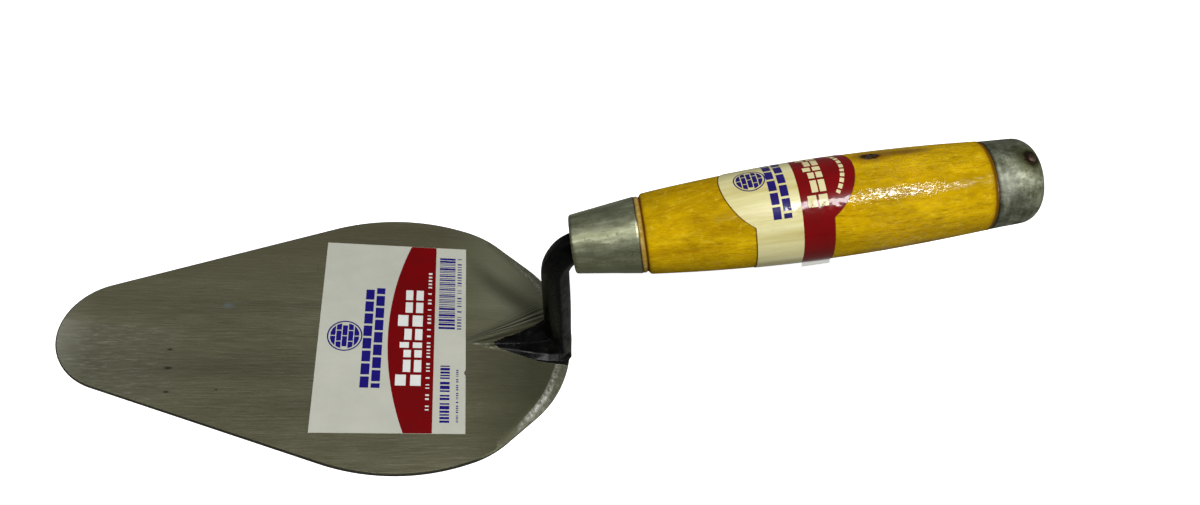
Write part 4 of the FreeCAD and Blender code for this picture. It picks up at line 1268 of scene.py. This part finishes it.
def film_rim(front, width):
    """The thin dark line along the film's edge."""
    def outline(u, v):
        a = -HALF_ROUND + 2 * HALF_ROUND * v
        sign = -1.0 if front else 1.0
        return BAND_MIDDLE + sign * (film_half(a) + width * (1.0 - u)), a
    return outline


def print_on_film(mark, across, along, ink):
    """One printed mark, which follows the film round the grip."""
    lay(film_shape, on_grip, mark, across, along, ink, FILM - INK_ROOT, FILM + INK)


FILM_CREAM, FILM_RED, FILM_BLUE, FILM_PALE, FILM_EDGE_LINE, FILM_BACK = range(6)
film_shape = bmesh.new()
lay(film_shape, on_grip, cream_part, 34, BAND_STEPS, FILM_CREAM, 0.0, FILM)
lay(film_shape, on_grip, red_part, 28, BAND_STEPS, FILM_RED, 0.0, FILM)
# a thin dark line laid along each edge of the film
lay(film_shape, on_grip, film_rim(True, 0.35), 1, BAND_STEPS, FILM_EDGE_LINE, 0.0, EDGE_LINE_HEIGHT)
lay(film_shape, on_grip, film_rim(False, 0.2), 1, BAND_STEPS, FILM_EDGE_LINE, 0.0, EDGE_LINE_HEIGHT)
for mark, across, along in badge_marks(*FILM_BADGE):
    print_on_film(mark, max(across, 3), max(along, 6), FILM_BLUE)
for mark, _, _ in course_marks(*FILM_COURSES, 7, 0.75):
    print_on_film(mark, 6, 6, FILM_BLUE)
for top, q0, q1 in PALE_BLOCKS:
    for low, high in halves(top, PALE_FOOT):
        print_on_film(box_mark(low, high, q0, q1), 5, 5, FILM_PALE)

# a curved line of pale dashes behind the blocks
curve_line = random.Random(21)
line_turn = CURVE_START
while line_turn < CURVE_END:
    line_step = curve_line.uniform(0.05, 0.11)

    def curved_dash(u, v, start=line_turn, length=line_step):
        radius = CURVE_RADIUS + CURVE_DEPTH * u
        turn = start + length * v
        return BAND_MIDDLE + radius * math.cos(turn), radius * math.sin(turn)

    print_on_film(curved_dash, 2, 3, FILM_PALE)
    line_turn += line_step + CURVE_GAP


def loose_end(s, t, h):
    """The film's loose end, which leaves the grip and hangs down."""
    y = LOOSE_SIDE - 0.22 * math.sin(1.6 * t) + 0.12 * t * t - h
    z = LOOSE_TOP - LOOSE_DROP * t
    roll = math.radians(BAND_ROLL)
    return Vector((s, y * math.cos(roll) + z * math.sin(roll),
                   z * math.cos(roll) - y * math.sin(roll))) * MM


def turned_mark(mark):
    """The same mark with its two ways on the sheet changed over."""
    return lambda u, v: mark(u, v)[::-1]


lay(film_shape, loose_end, box_mark(LOOSE_FRONT, LOOSE_REAR, 0.0, 1.0), 12, 8, FILM_BACK, 0.0, 0.11)
for mark, _, _ in dash_marks(*LOOSE_DASHES):
    lay(film_shape, loose_end, turned_mark(mark), 2, 2, FILM_BLUE, -0.02, 0.03)
seat_on_grip_line(film_shape)
grip_label = piece_from("grip_film_label", film_shape, 30.0)


def clear_cream():
    """Cream film thin enough for the wood's grain to show through."""
    finish, shader = start_finish("film_cream", (0.56, 0.50, 0.22), 0.32)
    place = grip_places(finish)
    grain = marks(finish, place, (12.0, 260.0, 260.0), 6.0, 0.65)
    blots = marks(finish, place, (90.0, 200.0, 200.0), 4.0, 0.6)
    tone = steps(finish, grain, (0.30, (0.45, 0.38, 0.13)), (0.5, (0.58, 0.53, 0.25)),
                 (0.72, (0.68, 0.64, 0.37)))
    tone = over(finish, reach(finish, blots, 0.56, 0.72, 0.0, 0.35), tone, (0.42, 0.33, 0.09))
    join(finish, tone, shader.inputs["Base Color"])
    join(finish, reach(finish, blots, 0.3, 0.7, 0.26, 0.42), shader.inputs["Roughness"])
    shader.inputs["Coat Weight"].default_value = 0.5
    shader.inputs["Coat Roughness"].default_value = 0.08
    raise_marks(finish, shader, grain, 0.00012)
    return finish


show(grip_label, clear_cream(),
     printed("film_red", (0.145, 0.001, 0.002), 0.3, 0.00003, 0.15, 0.30),
     printed("film_blue", (0.012, 0.006, 0.11), 0.32, 0.00003, 0.2, 0.4),
     printed("film_pale", (0.58, 0.53, 0.29), 0.32, 0.00003, 0.08, 0.15),
     printed("film_dark_edge", (0.12, 0.055, 0.004), 0.5, 0.00003),
     printed("film_backing", (0.60, 0.60, 0.57), 0.4, 0.00003, 0.06, 0.3))
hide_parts("handle_label")
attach(grip_label, "root")
